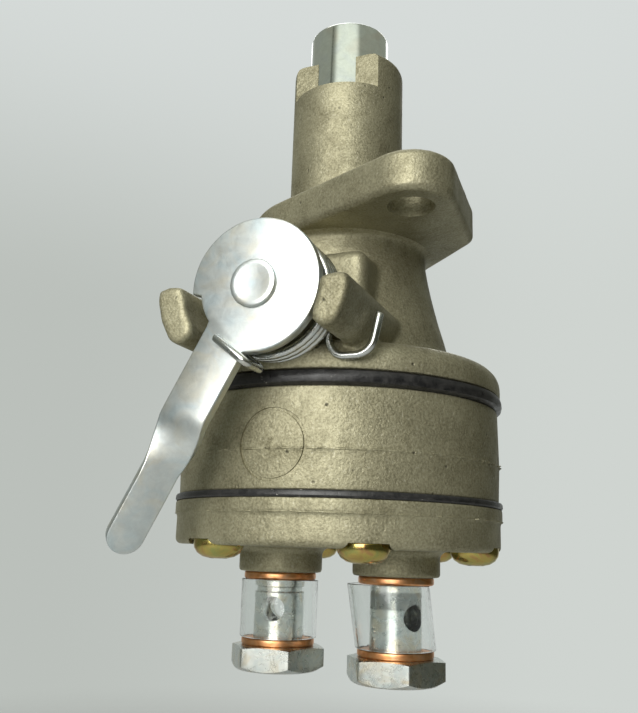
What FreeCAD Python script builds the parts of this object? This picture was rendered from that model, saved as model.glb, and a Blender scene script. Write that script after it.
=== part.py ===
import FreeCAD, Part
import math
import os

from FreeCAD import Vector

# Fuel lift pump: a tappet in a flanged snout drives a diaphragm through a rod, and a hand lever primes it.
# Millimetres. +Z runs along the pump's axis towards the tappet's tip. The origin is the centre of the
# flange's upper face, which meets the engine. -Y points to the priming lever and X through both ports.

# Fits and gaps
running_gap = 0.03        # radial, between a shaft or slide and its bore
seated_gap = 0.02         # radial, between pieces that stay fixed to each other
free_gap = 0.4            # between pieces that pass each other

# Mounting flange
flange_thickness = 8.0
flange_bolt_radius = 32.0  # from the pump's axis to each bolt hole
flange_hole_radius = 4.5
flange_lobe_radius = 8.2
flange_bolt_angle = 43.0   # of the near bolt hole, from -Y towards +X
flange_corner_distance = 26.2
flange_corner_radius = 3.0
flange_corner_angle = 84.0
flange_hub_radius = 19.8
flange_edge_radius = 1.0

# Snout and its cross slot
snout_radius = 12.5
snout_height = 37.2
slot_width = 15.6
slot_depth = 8.5
slot_angle = 12.8          # of the slot's near mouth, from -Y towards +X
snout_rim_radius = 1.2

# Neck and cap of the upper housing
neck_height = 25.7         # from the flange's underside to the cap's top
neck_radius = 17.7
neck_mid_radius = 20.0
neck_foot_radius = 23.9
neck_collar_radius = 19.3
neck_collar_height = 1.3
neck_bore_radius = 13.5
cap_height = 6.0
cap_radius = 33.0
cap_shoulder_radius = 4.0
cap_roof = 2.5
clamped_width = 8.0        # from the cap's outer wall to the chamber inside it
guide_rise = 0.7           # of the rod guide's top above the cap's top

# Diaphragm and what clamps it to the rod
rim_height = 2.8
rim_overhang = 0.7
membrane_thickness = 1.4
membrane_lift = 1.5        # of the middle above the rim, at rest
flex_width = 8.0           # of the free web between the chamber's wall and the clamp plates
flex_root = 1.0            # of rim that reaches into the chamber
flex_slope = 2.0           # how much further in the web's upper side leaves the rim
plate_thickness = 1.2
nut_across_flats = 10.0
nut_height = 3.5

# Lower housing, gasket and cover
lower_height = 18.0
lower_step = 0.4           # of the lower housing's wall inside the cap's
lower_draft = 0.25
parting_height = 7.0       # of the mould's parting line above the lower housing's bottom
pump_chamber_depth = 7.5
gasket_thickness = 1.2
gasket_overhang = 0.2      # of the gasket beyond the cover
cover_height = 8.3
cover_band = 2.4           # height of the band above the parting line
cover_step = 0.4
cover_edge_radius = 1.0
cover_cavity_depth = 5.5
cover_cavity_step = 2.5    # of the cavities' wall inside the chamber's
cover_wall = 3.0

# Cover screws
screw_count = 6
screw_inset = 5.0          # of the screws' circle inside the cover's outer wall
screw_radius = 2.5
screw_hole_radius = 2.75
screw_first_angle = 30.0   # from -Y
screw_turn_start = 25.0    # turn of the first screw's recess, and how much further each next one is turned
screw_turn_step = 47.0
screw_head_radius = 4.6
screw_head_height = 3.3
screw_pocket_radius = 5.6
screw_pocket_depth = 1.0
screw_engagement = 4.4     # length of thread in the cap
screw_point_chamfer = 0.5
recess_depth = 1.8
recess_width = 1.1
recess_length = 5.2

# Ports with banjo bolts
port_offset = 12.5
port_boss_radius = 8.6
port_boss_height = 5.0
port_thread_radius = 5.0
washer_radius = 7.4
washer_thickness = 1.5
sleeve_radius = 7.8
sleeve_wall = 0.8
inlet_sleeve_length = 11.3
outlet_sleeve_length = 11.9
outlet_sleeve_flare = 0.7
bolt_across_flats = 17.0
bolt_head_height = 4.7
bolt_thread_length = 7.2
bolt_point_chamfer = 0.8
bolt_bore_past_hole = 1.0  # how far the axial bore runs past the cross hole
bolt_head_chamfer = 0.2    # of the washer faces inside the flats
port_boss_edge = 0.4
bolt_bore_radius = 3.0
bolt_cross_radius = 2.4
bolt_groove_depth = 0.45
bolt_groove_width = 1.2
bolt_groove_drop = 1.4     # of the groove's top below the upper washer
inlet_cross_angle = 8.0    # turn of each bolt's cross hole from -Y towards +X
outlet_cross_angle = 62.0

# Tappet, its clip and the delivery spring
tappet_radius = 9.0
tappet_protrusion = 9.0
tappet_length = 48.7
tappet_bore_radius = 6.5
tappet_crown = 6.0
tappet_edge_radius = 1.6
clip_thickness = 1.2
clip_reach = 1.4           # of the clip beyond the tappet's surface
clip_side_gap = 0.6        # from the clip to the bore that it moves in
clip_mouth = 3.0
clip_groove_depth = 0.9
clip_shoulder = 0.5        # height of the shoulder that stops the clip, above the flange's upper face

# Pull rod
rod_radius = 3.0
rod_thread_radius = 2.5
rod_head_radius = 6.2
rod_head_thickness = 2.0
rod_head_height = 10.0     # of the head's top above the flange's upper face
rod_tail = 1.0             # of thread below the nut
collar_radius = 7.0
collar_thickness = 1.8
seal_radius = 6.0
seal_height = 2.4
seal_lip = 1.0             # width of its inner lip and depth of the groove behind it
seal_shell = 0.8
guide_flange_reach = 2.5   # of the rod guide's flange beyond the neck's bore
guide_flange_thickness = 0.8

# Priming shaft, lever and torsion spring
shaft_drop = 27.0          # of the shaft's axis below the flange's upper face
shaft_radius = 5.0
shaft_inner_end = 9.0      # distance of the shaft's inner end from the pump's axis
crank_offset = 3.0
crank_radius = 1.9
crank_reach = 3.6          # distance of the crank pin's end from the pump's axis
crank_gap = 0.15
lever_travel = 66.0        # degrees, until the arm meets the right lug
lever_standoff = 9.6       # of the lever's front face from the cap's wall
lever_thickness = 2.0
hub_radius = 11.9
hub_step_radius = 10.3
hub_step_angle = 184.0     # seen from the lever's side, counterclockwise from +X
arm_lean = 29.0            # of the arm from straight down, at rest
arm_length = 51.0
arm_width = 8.7
arm_end_width = 6.4
arm_taper_start = 27.0
arm_taper_end = 35.0
wave_start = 24.0
wave_radius = 5.8
wave_turn = 34.0
rivet_radius = 4.45
rivet_height = 1.2
rivet_edge_radius = 0.7
rivet_dimple = 0.25
tenon_radius = 3.2
boss_half_width = 12.6
boss_face = 22.7           # distance of the square boss's face from the pump's axis
boss_corner_radius = 4.0
spigot_radius = 9.6
spigot_foot = 1.0          # radius and length of the spigot's thicker foot on the boss
spigot_gap = 2.2           # from the spigot's face to the lever's back
spigot_chamfer = 0.6
lug_lead = 0.4             # of the lugs' faces in front of the lever's
lug_gap = 0.4              # from the lever's hub to the lugs' round inner faces
lug_rise = 0.6             # of the lug's top above the shaft's axis
lug_depth = 8.5            # of its lowest point below the axis
lug_outer = 17.2           # its widest reach from the shaft's axis
lug_low_angle = -30.0      # where the inner face ends below
lug_shoulder_in = 0.5      # steps of its outline, inward from the widest reach and down from the top
lug_shoulder_drop = 1.6
lug_hip_in = 1.4
lug_hip_rise = 1.9         # steps of its outline, inward and up from the lowest point
lug_toe_in = 3.7
lug_heel_in = 5.5
lug_heel_rise = 0.7
lug_edge_radius = 0.9
shaft_groove_depth = 0.8
shaft_clip_reach = 0.8     # of the clip beyond the shaft's surface
shaft_clip_thickness = 1.0
shaft_clip_mouth = 0.5     # how much narrower than the groove's floor the mouth is at each side
o_ring_radius = 0.95
o_ring_side_gap = 0.2
o_ring_inset = 3.4         # of the O-ring's middle behind the spigot's face

# Springs
delivery_wire = 1.4
delivery_half_turns = 12
return_wire = 1.5
return_mean_radius = 6.8
return_half_turns = 6
return_pocket_depth = 3.0
lever_wire = 1.5
lever_coil_radius = 10.95
lever_turns = 4.0          # before the angles of both ends are taken off
lever_spring_lead = 0.0    # of the rear coil's middle in front of the cap's wall
hook_clearance = 0.15
leg_clearance = 0.6        # of the coil's front turn behind the lever
spring_rear_angle = -24.0  # where the coil's rear and front ends leave it, counterclockwise from +X
spring_front_angle = -125.0
hook_run = 3.2             # straight length from the coil to the hook
hook_rise = 4.9            # of the hook's end above the lug's lowest point
hook_side_gap = 0.4
hook_drop = 0.6            # of the hook's run under the lug, past its clearance
hook_outer_in = 1.2        # where that run starts and ends, inward from the lug's widest reach
hook_inner_in = 6.2
hook_bend_radius = 1.6
leg_run = 7.6              # straight length from the coil to the leg's bend
leg_bend_radius = 1.3
leg_end_along = 11.0       # the leg's end, along the arm from the shaft and across it
leg_end_across = -1.3

# Valves in the lower housing
valve_wall = 0.55          # between a valve's bore and the return spring's pocket
valve_bore_radius = 6.5
valve_seat_height = 2.0
valve_seat_hole = 3.4
valve_disc_radius = 5.0
valve_disc_thickness = 1.2
valve_cage_height = 1.4
valve_cage_hole_count = 4
valve_cage_hole_radius = 1.6
valve_cage_hole_inset = 2.6  # of the holes' circle inside the valve's bore
valve_wire = 0.6
valve_spring_radius = 2.6
valve_half_turns = 5

# Levels worked out from the sizes above
flange_bottom = -flange_thickness
cap_top = flange_bottom - neck_height
cap_bottom = cap_top - cap_height
lower_top = cap_bottom - rim_height
lower_bottom = lower_top - lower_height
cover_top = lower_bottom - gasket_thickness
cover_bottom = cover_top - cover_height
boss_bottom = cover_bottom - port_boss_height
tappet_tip = snout_height + tappet_protrusion
tappet_bottom = tappet_tip - tappet_length
membrane_middle = (cap_bottom + lower_top) / 2 + membrane_lift
membrane_top = membrane_middle + membrane_thickness / 2
membrane_bottom = membrane_middle - membrane_thickness / 2
guide_top = cap_top + guide_rise
roof_bottom = cap_top - cap_roof
chamber_floor = lower_top - pump_chamber_depth
shaft_axis = Vector(0, 0, -shaft_drop)
crank_lift = crank_offset * math.sin(math.radians(lever_travel / 2))
collar_top = -shaft_drop + crank_lift - crank_radius - crank_gap
screw_tip = cap_bottom + screw_engagement
screw_seat = cover_bottom + screw_pocket_depth

# Radii and distances worked out from the sizes above
cover_radius = cap_radius
lower_radius = cap_radius - lower_step
gasket_radius = cover_radius + gasket_overhang
screw_circle_radius = cover_radius - screw_inset
chamber_radius = cap_radius - clamped_width
cover_cavity_radius = chamber_radius - cover_cavity_step
plate_radius = chamber_radius - flex_width
return_pocket_radius = return_mean_radius + return_wire / 2 + free_gap
valve_offset = return_pocket_radius + valve_wall + valve_bore_radius
lever_spring_back = cap_radius + lever_spring_lead
lever_face = cap_radius + lever_standoff
lever_back = lever_face - lever_thickness
lug_face = lever_face + lug_lead
lug_inner_radius = hub_radius + lug_gap
spigot_face = lever_back - spigot_gap
o_ring_place = spigot_face - o_ring_inset
shaft_clip_radius = shaft_radius + shaft_clip_reach
clip_radius = tappet_radius + clip_reach
clip_bore_radius = clip_radius + clip_side_gap

up = Vector(0, 0, 1)


def cylinder(radius, bottom, top, x=0.0, y=0.0):
    return Part.makeCylinder(radius, top - bottom, Vector(x, y, bottom), up)


def tube(outer, inner, bottom, top, x=0.0, y=0.0):
    return cylinder(outer, bottom, top, x, y).cut(cylinder(inner, bottom, top, x, y))


def spun(points):
    """A solid of revolution about Z. A point is (radius, height); a triple of points in a list is an arc."""
    edges = []
    last = None
    for item in points:
        if isinstance(item, list):
            middle, end = [Vector(r, 0, z) for r, z in item]
            edges.append(Part.Arc(last, middle, end).toShape())
            last = end
        else:
            point = Vector(item[0], 0, item[1])
            if last is not None:
                edges.append(Part.LineSegment(last, point).toShape())
            last = point
    wire = Part.Wire(edges)
    if not wire.isClosed():
        wire = Part.Wire(edges + [Part.LineSegment(last, wire.OrderedVertexes[0].Point).toShape()])
    return Part.Face(wire).revolve(Vector(0, 0, 0), up, 360)


def rounding(centre_r, centre_z, radius, start, end):
    """The middle and the end of an arc in a spun outline, given by its centre and two directions."""
    middle = math.radians((start + end) / 2)
    end = math.radians(end)
    return [
        (centre_r + radius * math.cos(middle), centre_z + radius * math.sin(middle)),
        (centre_r + radius * math.cos(end), centre_z + radius * math.sin(end)),
    ]


def heading(angle, distance):
    """The point at an angle from -Y towards +X and a distance from the pump's axis."""
    turn = math.radians(angle)
    return Vector(distance * math.sin(turn), -distance * math.cos(turn), 0)


def belt_outline(circles):
    """The outline of a belt round a list of circles (centre, radius), taken counterclockwise."""
    tangents = []
    for i, (start, r1) in enumerate(circles):
        end, r2 = circles[(i + 1) % len(circles)]
        along = end - start
        bearing = math.atan2(along.y, along.x)
        normal = bearing - math.pi / 2 + math.asin((r1 - r2) / along.Length)
        side = Vector(math.cos(normal), math.sin(normal), 0)
        tangents.append((start + side * r1, end + side * r2, normal))
    edges = []
    for i, (start, end, normal) in enumerate(tangents):
        centre, radius = circles[(i + 1) % len(circles)]
        next_start, _, next_normal = tangents[(i + 1) % len(tangents)]
        while next_normal < normal:
            next_normal += 2 * math.pi
        half = (normal + next_normal) / 2
        middle = centre + Vector(math.cos(half), math.sin(half), 0) * radius
        edges.append(Part.LineSegment(start, end).toShape())
        edges.append(Part.Arc(end, middle, next_start).toShape())
    return Part.Wire(edges)


def hexagon_prism(across_flats, bottom, top, x=0.0, y=0.0, turn=0.0):
    corner = across_flats / math.sqrt(3)
    points = []
    for i in range(7):
        side = math.radians(turn + 60 * i)
        points.append(Vector(x + corner * math.cos(side), y + corner * math.sin(side), bottom))
    return Part.Face(Part.makePolygon(points)).extrude(Vector(0, 0, top - bottom))


def screw_places():
    for i in range(screw_count):
        yield heading(screw_first_angle + 360 / screw_count * i, screw_circle_radius)


def with_screw_holes(shape, radius, bottom, top):
    for place in screw_places():
        shape = shape.cut(cylinder(radius, bottom, top, place.x, place.y))
    return shape


def bent(points, bend_radius):
    """The edges of a path of straight runs through points, with an arc at each inner point."""
    edges = []
    last = points[0]
    for before, corner, after in zip(points, points[1:], points[2:]):
        back = (before - corner).normalize()
        ahead = (after - corner).normalize()
        half = back.getAngle(ahead) / 2
        reach = bend_radius / math.tan(half)
        inward = (back + ahead).normalize()
        middle = corner + inward * (bend_radius / math.sin(half) - bend_radius)
        edges.append(Part.LineSegment(last, corner + back * reach).toShape())
        edges.append(Part.Arc(corner + back * reach, middle, corner + ahead * reach).toShape())
        last = corner + ahead * reach
    edges.append(Part.LineSegment(last, points[-1]).toShape())
    return edges


def half_turns(radius, level, rise, turn, start_angle=0.0):
    """A coil's path about Z as half turns, each flat, tilted to gain the rise and tangent to the next.

    turn is in degrees. A last arc that is shorter than a half turn keeps the same tilt.
    """
    edges = []
    angle = math.radians(start_angle)
    while turn > 0.001:
        sweep = math.radians(min(turn, 180.0))
        centre = Vector(0, 0, level + rise / 2)
        arm = Vector(radius * math.cos(angle), radius * math.sin(angle), -rise / 2)
        side = Vector(-math.sin(angle), math.cos(angle), 0) * arm.Length
        ends = [centre + arm * math.cos(t) + side * math.sin(t) for t in (0.0, sweep / 2, sweep)]
        edges.append(Part.Arc(*ends).toShape())
        angle += math.pi
        level += rise
        turn -= 180.0
    return edges


def wire_along(edges, wire):
    """A round wire along straight and round edges that meet tangent to each other."""
    runs = []
    for edge in edges:
        start = edge.valueAt(edge.FirstParameter)
        tangent = edge.tangentAt(edge.FirstParameter)
        if isinstance(edge.Curve, Part.Circle):
            section = Part.Face(Part.Wire(Part.makeCircle(wire / 2, start, tangent)))
            turn = math.degrees(edge.LastParameter - edge.FirstParameter)
            runs.append(section.revolve(edge.Curve.Center, edge.Curve.Axis, turn))
        else:
            runs.append(Part.makeCylinder(wire / 2, edge.Length, start, tangent))
    return runs[0].fuse(runs[1:])


def coil(mean_radius, wire, half_turn_count, bottom, top):
    """A coil spring about Z whose wire just reaches the two levels."""
    rise = (top - bottom - wire) / half_turn_count
    return wire_along(half_turns(mean_radius, bottom + wire / 2, rise, 180.0 * half_turn_count), wire)


def along_lever(shape):
    """Turns a shape built along +Z about the pump's axis onto the priming shaft's axis."""
    shape = shape.copy()
    shape.rotate(Vector(0, 0, 0), Vector(1, 0, 0), 90)
    shape.translate(shaft_axis)
    return shape


def flange():
    circles = []
    for half_turn in (0, 180):
        circles.append((heading(flange_bolt_angle + half_turn, flange_bolt_radius), flange_lobe_radius))
        circles.append((heading(flange_corner_angle + half_turn, flange_corner_distance), flange_corner_radius))
        circles.append((Vector(0, 0, 0), flange_hub_radius))
    plate = Part.Face(belt_outline(circles)).extrude(Vector(0, 0, -flange_thickness))
    rims = [edge for edge in plate.Edges if edge.BoundBox.ZLength < 0.001]
    return plate.makeFillet(flange_edge_radius, rims)


def lug(side):
    """A stop lug: a bar from the neck whose end follows the lever's hub. side is 1 right, -1 left."""
    def at(radius, degrees):
        turn = math.radians(degrees)
        return Vector(side * radius * math.cos(turn), -lug_face, radius * math.sin(turn) - shaft_drop)

    def point(x, rise):
        return Vector(side * x, -lug_face, rise - shaft_drop)

    top_angle = math.degrees(math.asin(lug_rise / lug_inner_radius))
    top_in = at(lug_inner_radius, top_angle)
    low_in = at(lug_inner_radius, lug_low_angle)
    corners = [
        top_in,
        point(lug_outer - lug_shoulder_in, lug_rise),
        point(lug_outer, lug_rise - lug_shoulder_drop),
        point(lug_outer - lug_hip_in, lug_hip_rise - lug_depth),
        point(lug_outer - lug_toe_in, -lug_depth),
        point(lug_outer - lug_heel_in, lug_heel_rise - lug_depth),
        low_in,
    ]
    edges = [Part.LineSegment(a, b).toShape() for a, b in zip(corners, corners[1:])]
    edges.append(Part.Arc(low_in, at(lug_inner_radius, (top_angle + lug_low_angle) / 2), top_in).toShape())
    bar = Part.Face(Part.Wire(edges)).extrude(Vector(0, lug_face - neck_bore_radius / 2, 0))
    end = [edge for edge in bar.Edges if edge.BoundBox.YMax < 0.001 - lug_face]
    return bar.makeFillet(lug_edge_radius, end)


def shaft_boss():
    """The square boss on the neck and the round spigot that carries the shaft and the spring."""
    top = boss_half_width - shaft_drop
    low = (cap_top + roof_bottom) / 2
    foot = spigot_foot
    block = Part.makeBox(2 * boss_half_width, boss_face, top - low, Vector(-boss_half_width, -boss_face, low))
    upper = [e for e in block.Edges if e.BoundBox.YLength > 1 and e.BoundBox.ZMin > top - 0.001]
    block = block.makeFillet(boss_corner_radius, upper)
    spigot = along_lever(spun([
        (0, boss_face - foot),
        (spigot_radius + foot, boss_face - foot),
        (spigot_radius + foot, boss_face),
        rounding(spigot_radius + foot, boss_face + foot, foot, 270, 180),
        (spigot_radius, spigot_face - spigot_chamfer),
        (spigot_radius - spigot_chamfer, spigot_face),
        (0, spigot_face),
    ]))
    return block.fuse(spigot)


def upper_housing():
    neck_top = flange_bottom - neck_collar_height
    flare = neck_collar_radius - neck_radius
    body = spun([
        (0, cap_bottom),
        (cap_radius, cap_bottom),
        (cap_radius, cap_top - cap_shoulder_radius),
        rounding(cap_radius - cap_shoulder_radius, cap_top - cap_shoulder_radius, cap_shoulder_radius, 0, 90),
        (neck_foot_radius, cap_top),
        [(neck_mid_radius, (cap_top + neck_top) / 2), (neck_radius, neck_top)],
        [(neck_radius + flare / 3, (neck_top + 2 * flange_bottom) / 3), (neck_collar_radius, flange_bottom)],
        (neck_collar_radius, flange_bottom / 2),
        (snout_radius, flange_bottom / 2),
        (snout_radius, snout_height - snout_rim_radius),
        rounding(snout_radius - snout_rim_radius, snout_height - snout_rim_radius, snout_rim_radius, 0, 90),
        (0, snout_height),
    ])
    body = body.fuse([flange(), shaft_boss(), lug(1), lug(-1)])
    inside = spun([
        (0, cap_bottom),
        (chamber_radius, cap_bottom),
        (chamber_radius, roof_bottom),
        (neck_bore_radius, roof_bottom),
        (neck_bore_radius, flange_bottom),
        (clip_bore_radius, flange_bottom + neck_bore_radius - clip_bore_radius),
        (clip_bore_radius, clip_shoulder),
        (tappet_radius, clip_shoulder),
        (tappet_radius, snout_height),
        (0, snout_height),
    ])
    body = body.cut(inside)
    slot = Part.makeBox(slot_width, 2 * cap_radius, 2 * slot_depth)
    slot.translate(Vector(-slot_width / 2, -cap_radius, snout_height - slot_depth))
    slot.rotate(Vector(0, 0, 0), up, slot_angle)
    body = body.cut(slot)
    body = body.cut(along_lever(cylinder(shaft_radius + running_gap, 0, spigot_face)))
    clip_pocket = shaft_clip_radius + free_gap
    body = body.cut(along_lever(cylinder(clip_pocket, 0, neck_bore_radius + free_gap)))
    for half_turn in (0, 180):
        hole = heading(flange_bolt_angle + half_turn, flange_bolt_radius)
        body = body.cut(cylinder(flange_hole_radius, flange_bottom, 0, hole.x, hole.y))
    return with_screw_holes(body, screw_radius + seated_gap, cap_bottom, screw_tip + free_gap)


def tappet():
    radius = tappet_radius - running_gap
    groove_top = clip_shoulder - running_gap + seated_gap
    groove_bottom = groove_top - clip_thickness - 2 * seated_gap
    return spun([
        (tappet_bore_radius, tappet_bottom),
        (radius, tappet_bottom),
        (radius, groove_bottom),
        (radius - clip_groove_depth, groove_bottom),
        (radius - clip_groove_depth, groove_top),
        (radius, groove_top),
        (radius, tappet_tip - tappet_edge_radius),
        rounding(radius - tappet_edge_radius, tappet_tip - tappet_edge_radius, tappet_edge_radius, 0, 80),
        (0, tappet_tip),
        (0, tappet_tip - tappet_crown),
        (tappet_bore_radius, tappet_tip - tappet_crown),
    ])


def tappet_clip():
    inner = tappet_radius - running_gap - clip_groove_depth + seated_gap
    top = clip_shoulder - running_gap
    ring = tube(clip_radius, inner, top - clip_thickness, top)
    mouth = Part.makeBox(clip_radius, clip_mouth, clip_thickness, Vector(0, -clip_mouth / 2, top - clip_thickness))
    return ring.cut(mouth)


def delivery_spring():
    radius = tappet_bore_radius - delivery_wire / 2 - free_gap
    return coil(radius, delivery_wire, delivery_half_turns, rod_head_height, tappet_tip - tappet_crown)


def pull_rod():
    shoulder = membrane_top + plate_thickness
    tail = membrane_bottom - plate_thickness - nut_height - rod_tail
    return spun([
        (0, tail),
        (rod_thread_radius, tail),
        (rod_thread_radius, shoulder),
        (rod_radius, shoulder),
        (rod_radius, collar_top - collar_thickness),
        (collar_radius, collar_top - collar_thickness),
        (collar_radius, collar_top),
        (rod_radius, collar_top),
        (rod_radius, rod_head_height - rod_head_thickness),
        (rod_head_radius, rod_head_height - rod_head_thickness),
        (rod_head_radius, rod_head_height),
        (0, rod_head_height),
    ])


def rod_guide():
    """The plug in the neck's bore that guides the rod and holds its seal."""
    plug = cylinder(neck_bore_radius - seated_gap, roof_bottom, guide_top)
    flange_low = roof_bottom - guide_flange_thickness
    plug = plug.fuse(cylinder(neck_bore_radius + guide_flange_reach, flange_low, roof_bottom))
    plug = plug.cut(cylinder(rod_radius + free_gap, flange_low, guide_top))
    return plug.cut(cylinder(seal_radius, guide_top - seal_height, guide_top))


def rod_seal():
    ring = tube(seal_radius - seated_gap, rod_radius + running_gap, guide_top - seal_height, guide_top)
    return ring.cut(tube(seal_radius - seal_shell, rod_radius + seal_lip, guide_top - seal_lip, guide_top))


def diaphragm():
    """A flat rim between the castings and a cone-shaped web up to the middle, held between the plates."""
    flex_radius = chamber_radius - flex_root
    rim_radius = cap_radius + rim_overhang
    bulge = rim_height / 2
    body = spun([
        (rod_thread_radius, membrane_bottom),
        (plate_radius, membrane_bottom),
        (flex_radius, lower_top),
        (rim_radius - bulge, lower_top),
        [(rim_radius, lower_top + bulge), (rim_radius - bulge, cap_bottom)],
        (flex_radius, cap_bottom),
        (flex_radius - flex_slope, cap_bottom),
        (plate_radius, membrane_top),
        (rod_thread_radius, membrane_top),
    ])
    body = body.cut(cylinder(rod_thread_radius + seated_gap, membrane_bottom, membrane_top))
    return with_screw_holes(body, screw_hole_radius, lower_top, cap_bottom)


def clamp_plate(bottom):
    return tube(plate_radius, rod_thread_radius + seated_gap, bottom, bottom + plate_thickness)


def diaphragm_nut():
    top = membrane_bottom - plate_thickness
    body = hexagon_prism(nut_across_flats, top - nut_height, top)
    return body.cut(cylinder(rod_thread_radius + seated_gap, top - nut_height, top))


def return_spring():
    return coil(
        return_mean_radius, return_wire, return_half_turns,
        chamber_floor - return_pocket_depth, membrane_bottom - plate_thickness,
    )


def lower_housing():
    parting = lower_bottom + parting_height
    body = spun([
        (0, lower_bottom),
        (lower_radius - lower_draft, lower_bottom),
        (lower_radius, parting),
        (lower_radius - lower_draft, lower_top),
        (0, lower_top),
    ])
    body = body.cut(cylinder(chamber_radius, chamber_floor, lower_top))
    body = body.cut(cylinder(return_pocket_radius, chamber_floor - return_pocket_depth, chamber_floor))
    for side in (-1, 1):
        body = body.cut(cylinder(valve_bore_radius, lower_bottom, chamber_floor, side * valve_offset))
    return with_screw_holes(body, screw_hole_radius, lower_bottom, lower_top)


def valve(side, opens_up):
    """Seat, disc, spring and cage of one valve, in the direction that the fuel flows."""
    x = side * valve_offset
    radius = valve_bore_radius - seated_gap
    seat = tube(radius, valve_seat_hole, 0, valve_seat_height)
    disc_bottom = valve_seat_height + running_gap
    disc_top = disc_bottom + valve_disc_thickness
    disc = cylinder(valve_disc_radius, disc_bottom, disc_top)
    length = chamber_floor - lower_bottom
    cage_bottom = length - valve_cage_height
    cage = cylinder(radius, cage_bottom, length)
    for i in range(valve_cage_hole_count):
        hole = heading(360 / valve_cage_hole_count * (i + 0.5), valve_bore_radius - valve_cage_hole_inset)
        cage = cage.cut(cylinder(valve_cage_hole_radius, cage_bottom, length, hole.x, hole.y))
    spring = coil(valve_spring_radius, valve_wire, valve_half_turns, disc_top, cage_bottom)
    pieces = []
    for piece in (seat, disc, spring, cage):
        if not opens_up:
            piece.rotate(Vector(0, 0, length / 2), Vector(1, 0, 0), 180)
        piece.translate(Vector(x, 0, lower_bottom))
        pieces.append(piece)
    return pieces


def port_cavities(bottom, top):
    """The inlet and outlet spaces: two half discs with a wall between them."""
    disc = cylinder(cover_cavity_radius, bottom, top)
    wall = Part.makeBox(cover_wall, 2 * cover_radius, top - bottom, Vector(-cover_wall / 2, -cover_radius, bottom))
    return disc.cut(wall)


def cover_gasket():
    sheet = cylinder(gasket_radius, cover_top, lower_bottom)
    sheet = sheet.cut(port_cavities(cover_top, lower_bottom))
    return with_screw_holes(sheet, screw_hole_radius, cover_top, lower_bottom)


def bottom_cover():
    parting = cover_top - cover_band
    edge = cover_edge_radius
    radius = cover_radius - cover_step
    body = spun([
        (0, cover_bottom),
        (radius - edge, cover_bottom),
        rounding(radius - edge, cover_bottom + edge, edge, -90, 0),
        (radius, parting),
        (cover_radius, parting),
        (cover_radius, cover_top),
        (0, cover_top),
    ])
    for side in (-1, 1):
        boss = spun([
            (0, boss_bottom),
            (port_boss_radius - port_boss_edge, boss_bottom),
            (port_boss_radius, boss_bottom + port_boss_edge),
            (port_boss_radius, cover_bottom - edge),
            rounding(port_boss_radius + edge, cover_bottom - edge, edge, 180, 90),
            (port_boss_radius + edge, cover_bottom + edge),
            (0, cover_bottom + edge),
        ])
        boss.translate(Vector(side * port_offset, 0, 0))
        body = body.fuse(boss)
    body = body.cut(port_cavities(cover_top - cover_cavity_depth, cover_top))
    for side in (-1, 1):
        thread = cylinder(port_thread_radius + seated_gap, boss_bottom, cover_top, side * port_offset)
        body = body.cut(thread)
    body = with_screw_holes(body, screw_hole_radius, cover_bottom, cover_top)
    return with_screw_holes(body, screw_pocket_radius, cover_bottom, screw_seat)


def cover_screw():
    """A pan-head screw with a cross recess, its seat at height 0 and its shank upward."""
    length = screw_tip - screw_seat
    crown = screw_head_height * 0.75
    body = spun([
        (0, -screw_head_height),
        (screw_head_radius * 0.45, -screw_head_height),
        [(screw_head_radius * 0.86, -crown * 0.94), (screw_head_radius, -screw_head_height + crown)],
        (screw_head_radius, 0),
        (screw_radius, 0),
        (screw_radius, length - screw_point_chamfer),
        (screw_radius - screw_point_chamfer, length),
        (0, length),
    ])
    for long_x in (True, False):
        size_x = recess_length if long_x else recess_width
        size_y = recess_width if long_x else recess_length
        arm = Part.makeBox(size_x, size_y, recess_depth)
        arm.translate(Vector(-size_x / 2, -size_y / 2, -screw_head_height))
        body = body.cut(arm)
    return body


def cover_screws():
    screws = []
    for i, place in enumerate(screw_places()):
        screw = cover_screw()
        screw.rotate(Vector(0, 0, 0), up, screw_turn_start + screw_turn_step * i)
        screw.translate(Vector(place.x, place.y, screw_seat))
        screws.append(screw)
    return Part.makeCompound(screws)


def banjo_bolt(under_head, cross_angle, side):
    """A hollow hexagon bolt from below, with a cross hole inside its sleeve."""
    head_bottom = under_head - bolt_head_height
    shank_top = boss_bottom + bolt_thread_length
    sleeve_middle = (under_head + boss_bottom) / 2
    groove_top = boss_bottom - washer_thickness - bolt_groove_drop
    core = port_thread_radius - bolt_groove_depth
    corner = bolt_across_flats / math.sqrt(3)
    washer_face = bolt_across_flats / 2 - bolt_head_chamfer
    chamfer = corner - washer_face
    head = spun([
        (0, head_bottom),
        (washer_face, head_bottom),
        (corner, head_bottom + chamfer / 2),
        (corner, under_head - chamfer / 4),
        (washer_face, under_head),
        (0, under_head),
    ])
    head = head.common(hexagon_prism(bolt_across_flats, head_bottom, under_head, turn=cross_angle))
    shank = spun([
        (0, (head_bottom + under_head) / 2),
        (port_thread_radius, (head_bottom + under_head) / 2),
        (port_thread_radius, groove_top - bolt_groove_width),
        (core, groove_top - bolt_groove_width),
        (core, groove_top),
        (port_thread_radius, groove_top),
        (port_thread_radius, shank_top - bolt_point_chamfer),
        (port_thread_radius - bolt_point_chamfer, shank_top),
        (0, shank_top),
    ])
    body = head.fuse(shank)
    bore_end = sleeve_middle - bolt_cross_radius - bolt_bore_past_hole
    body = body.cut(cylinder(bolt_bore_radius, bore_end, shank_top))
    cross = Part.makeCylinder(bolt_cross_radius, 2 * corner, Vector(0, -corner, 0), Vector(0, 1, 0))
    cross.rotate(Vector(0, 0, 0), up, cross_angle)
    cross.translate(Vector(0, 0, sleeve_middle))
    body = body.cut(cross)
    body.translate(Vector(side * port_offset, 0, 0))
    return body


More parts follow.
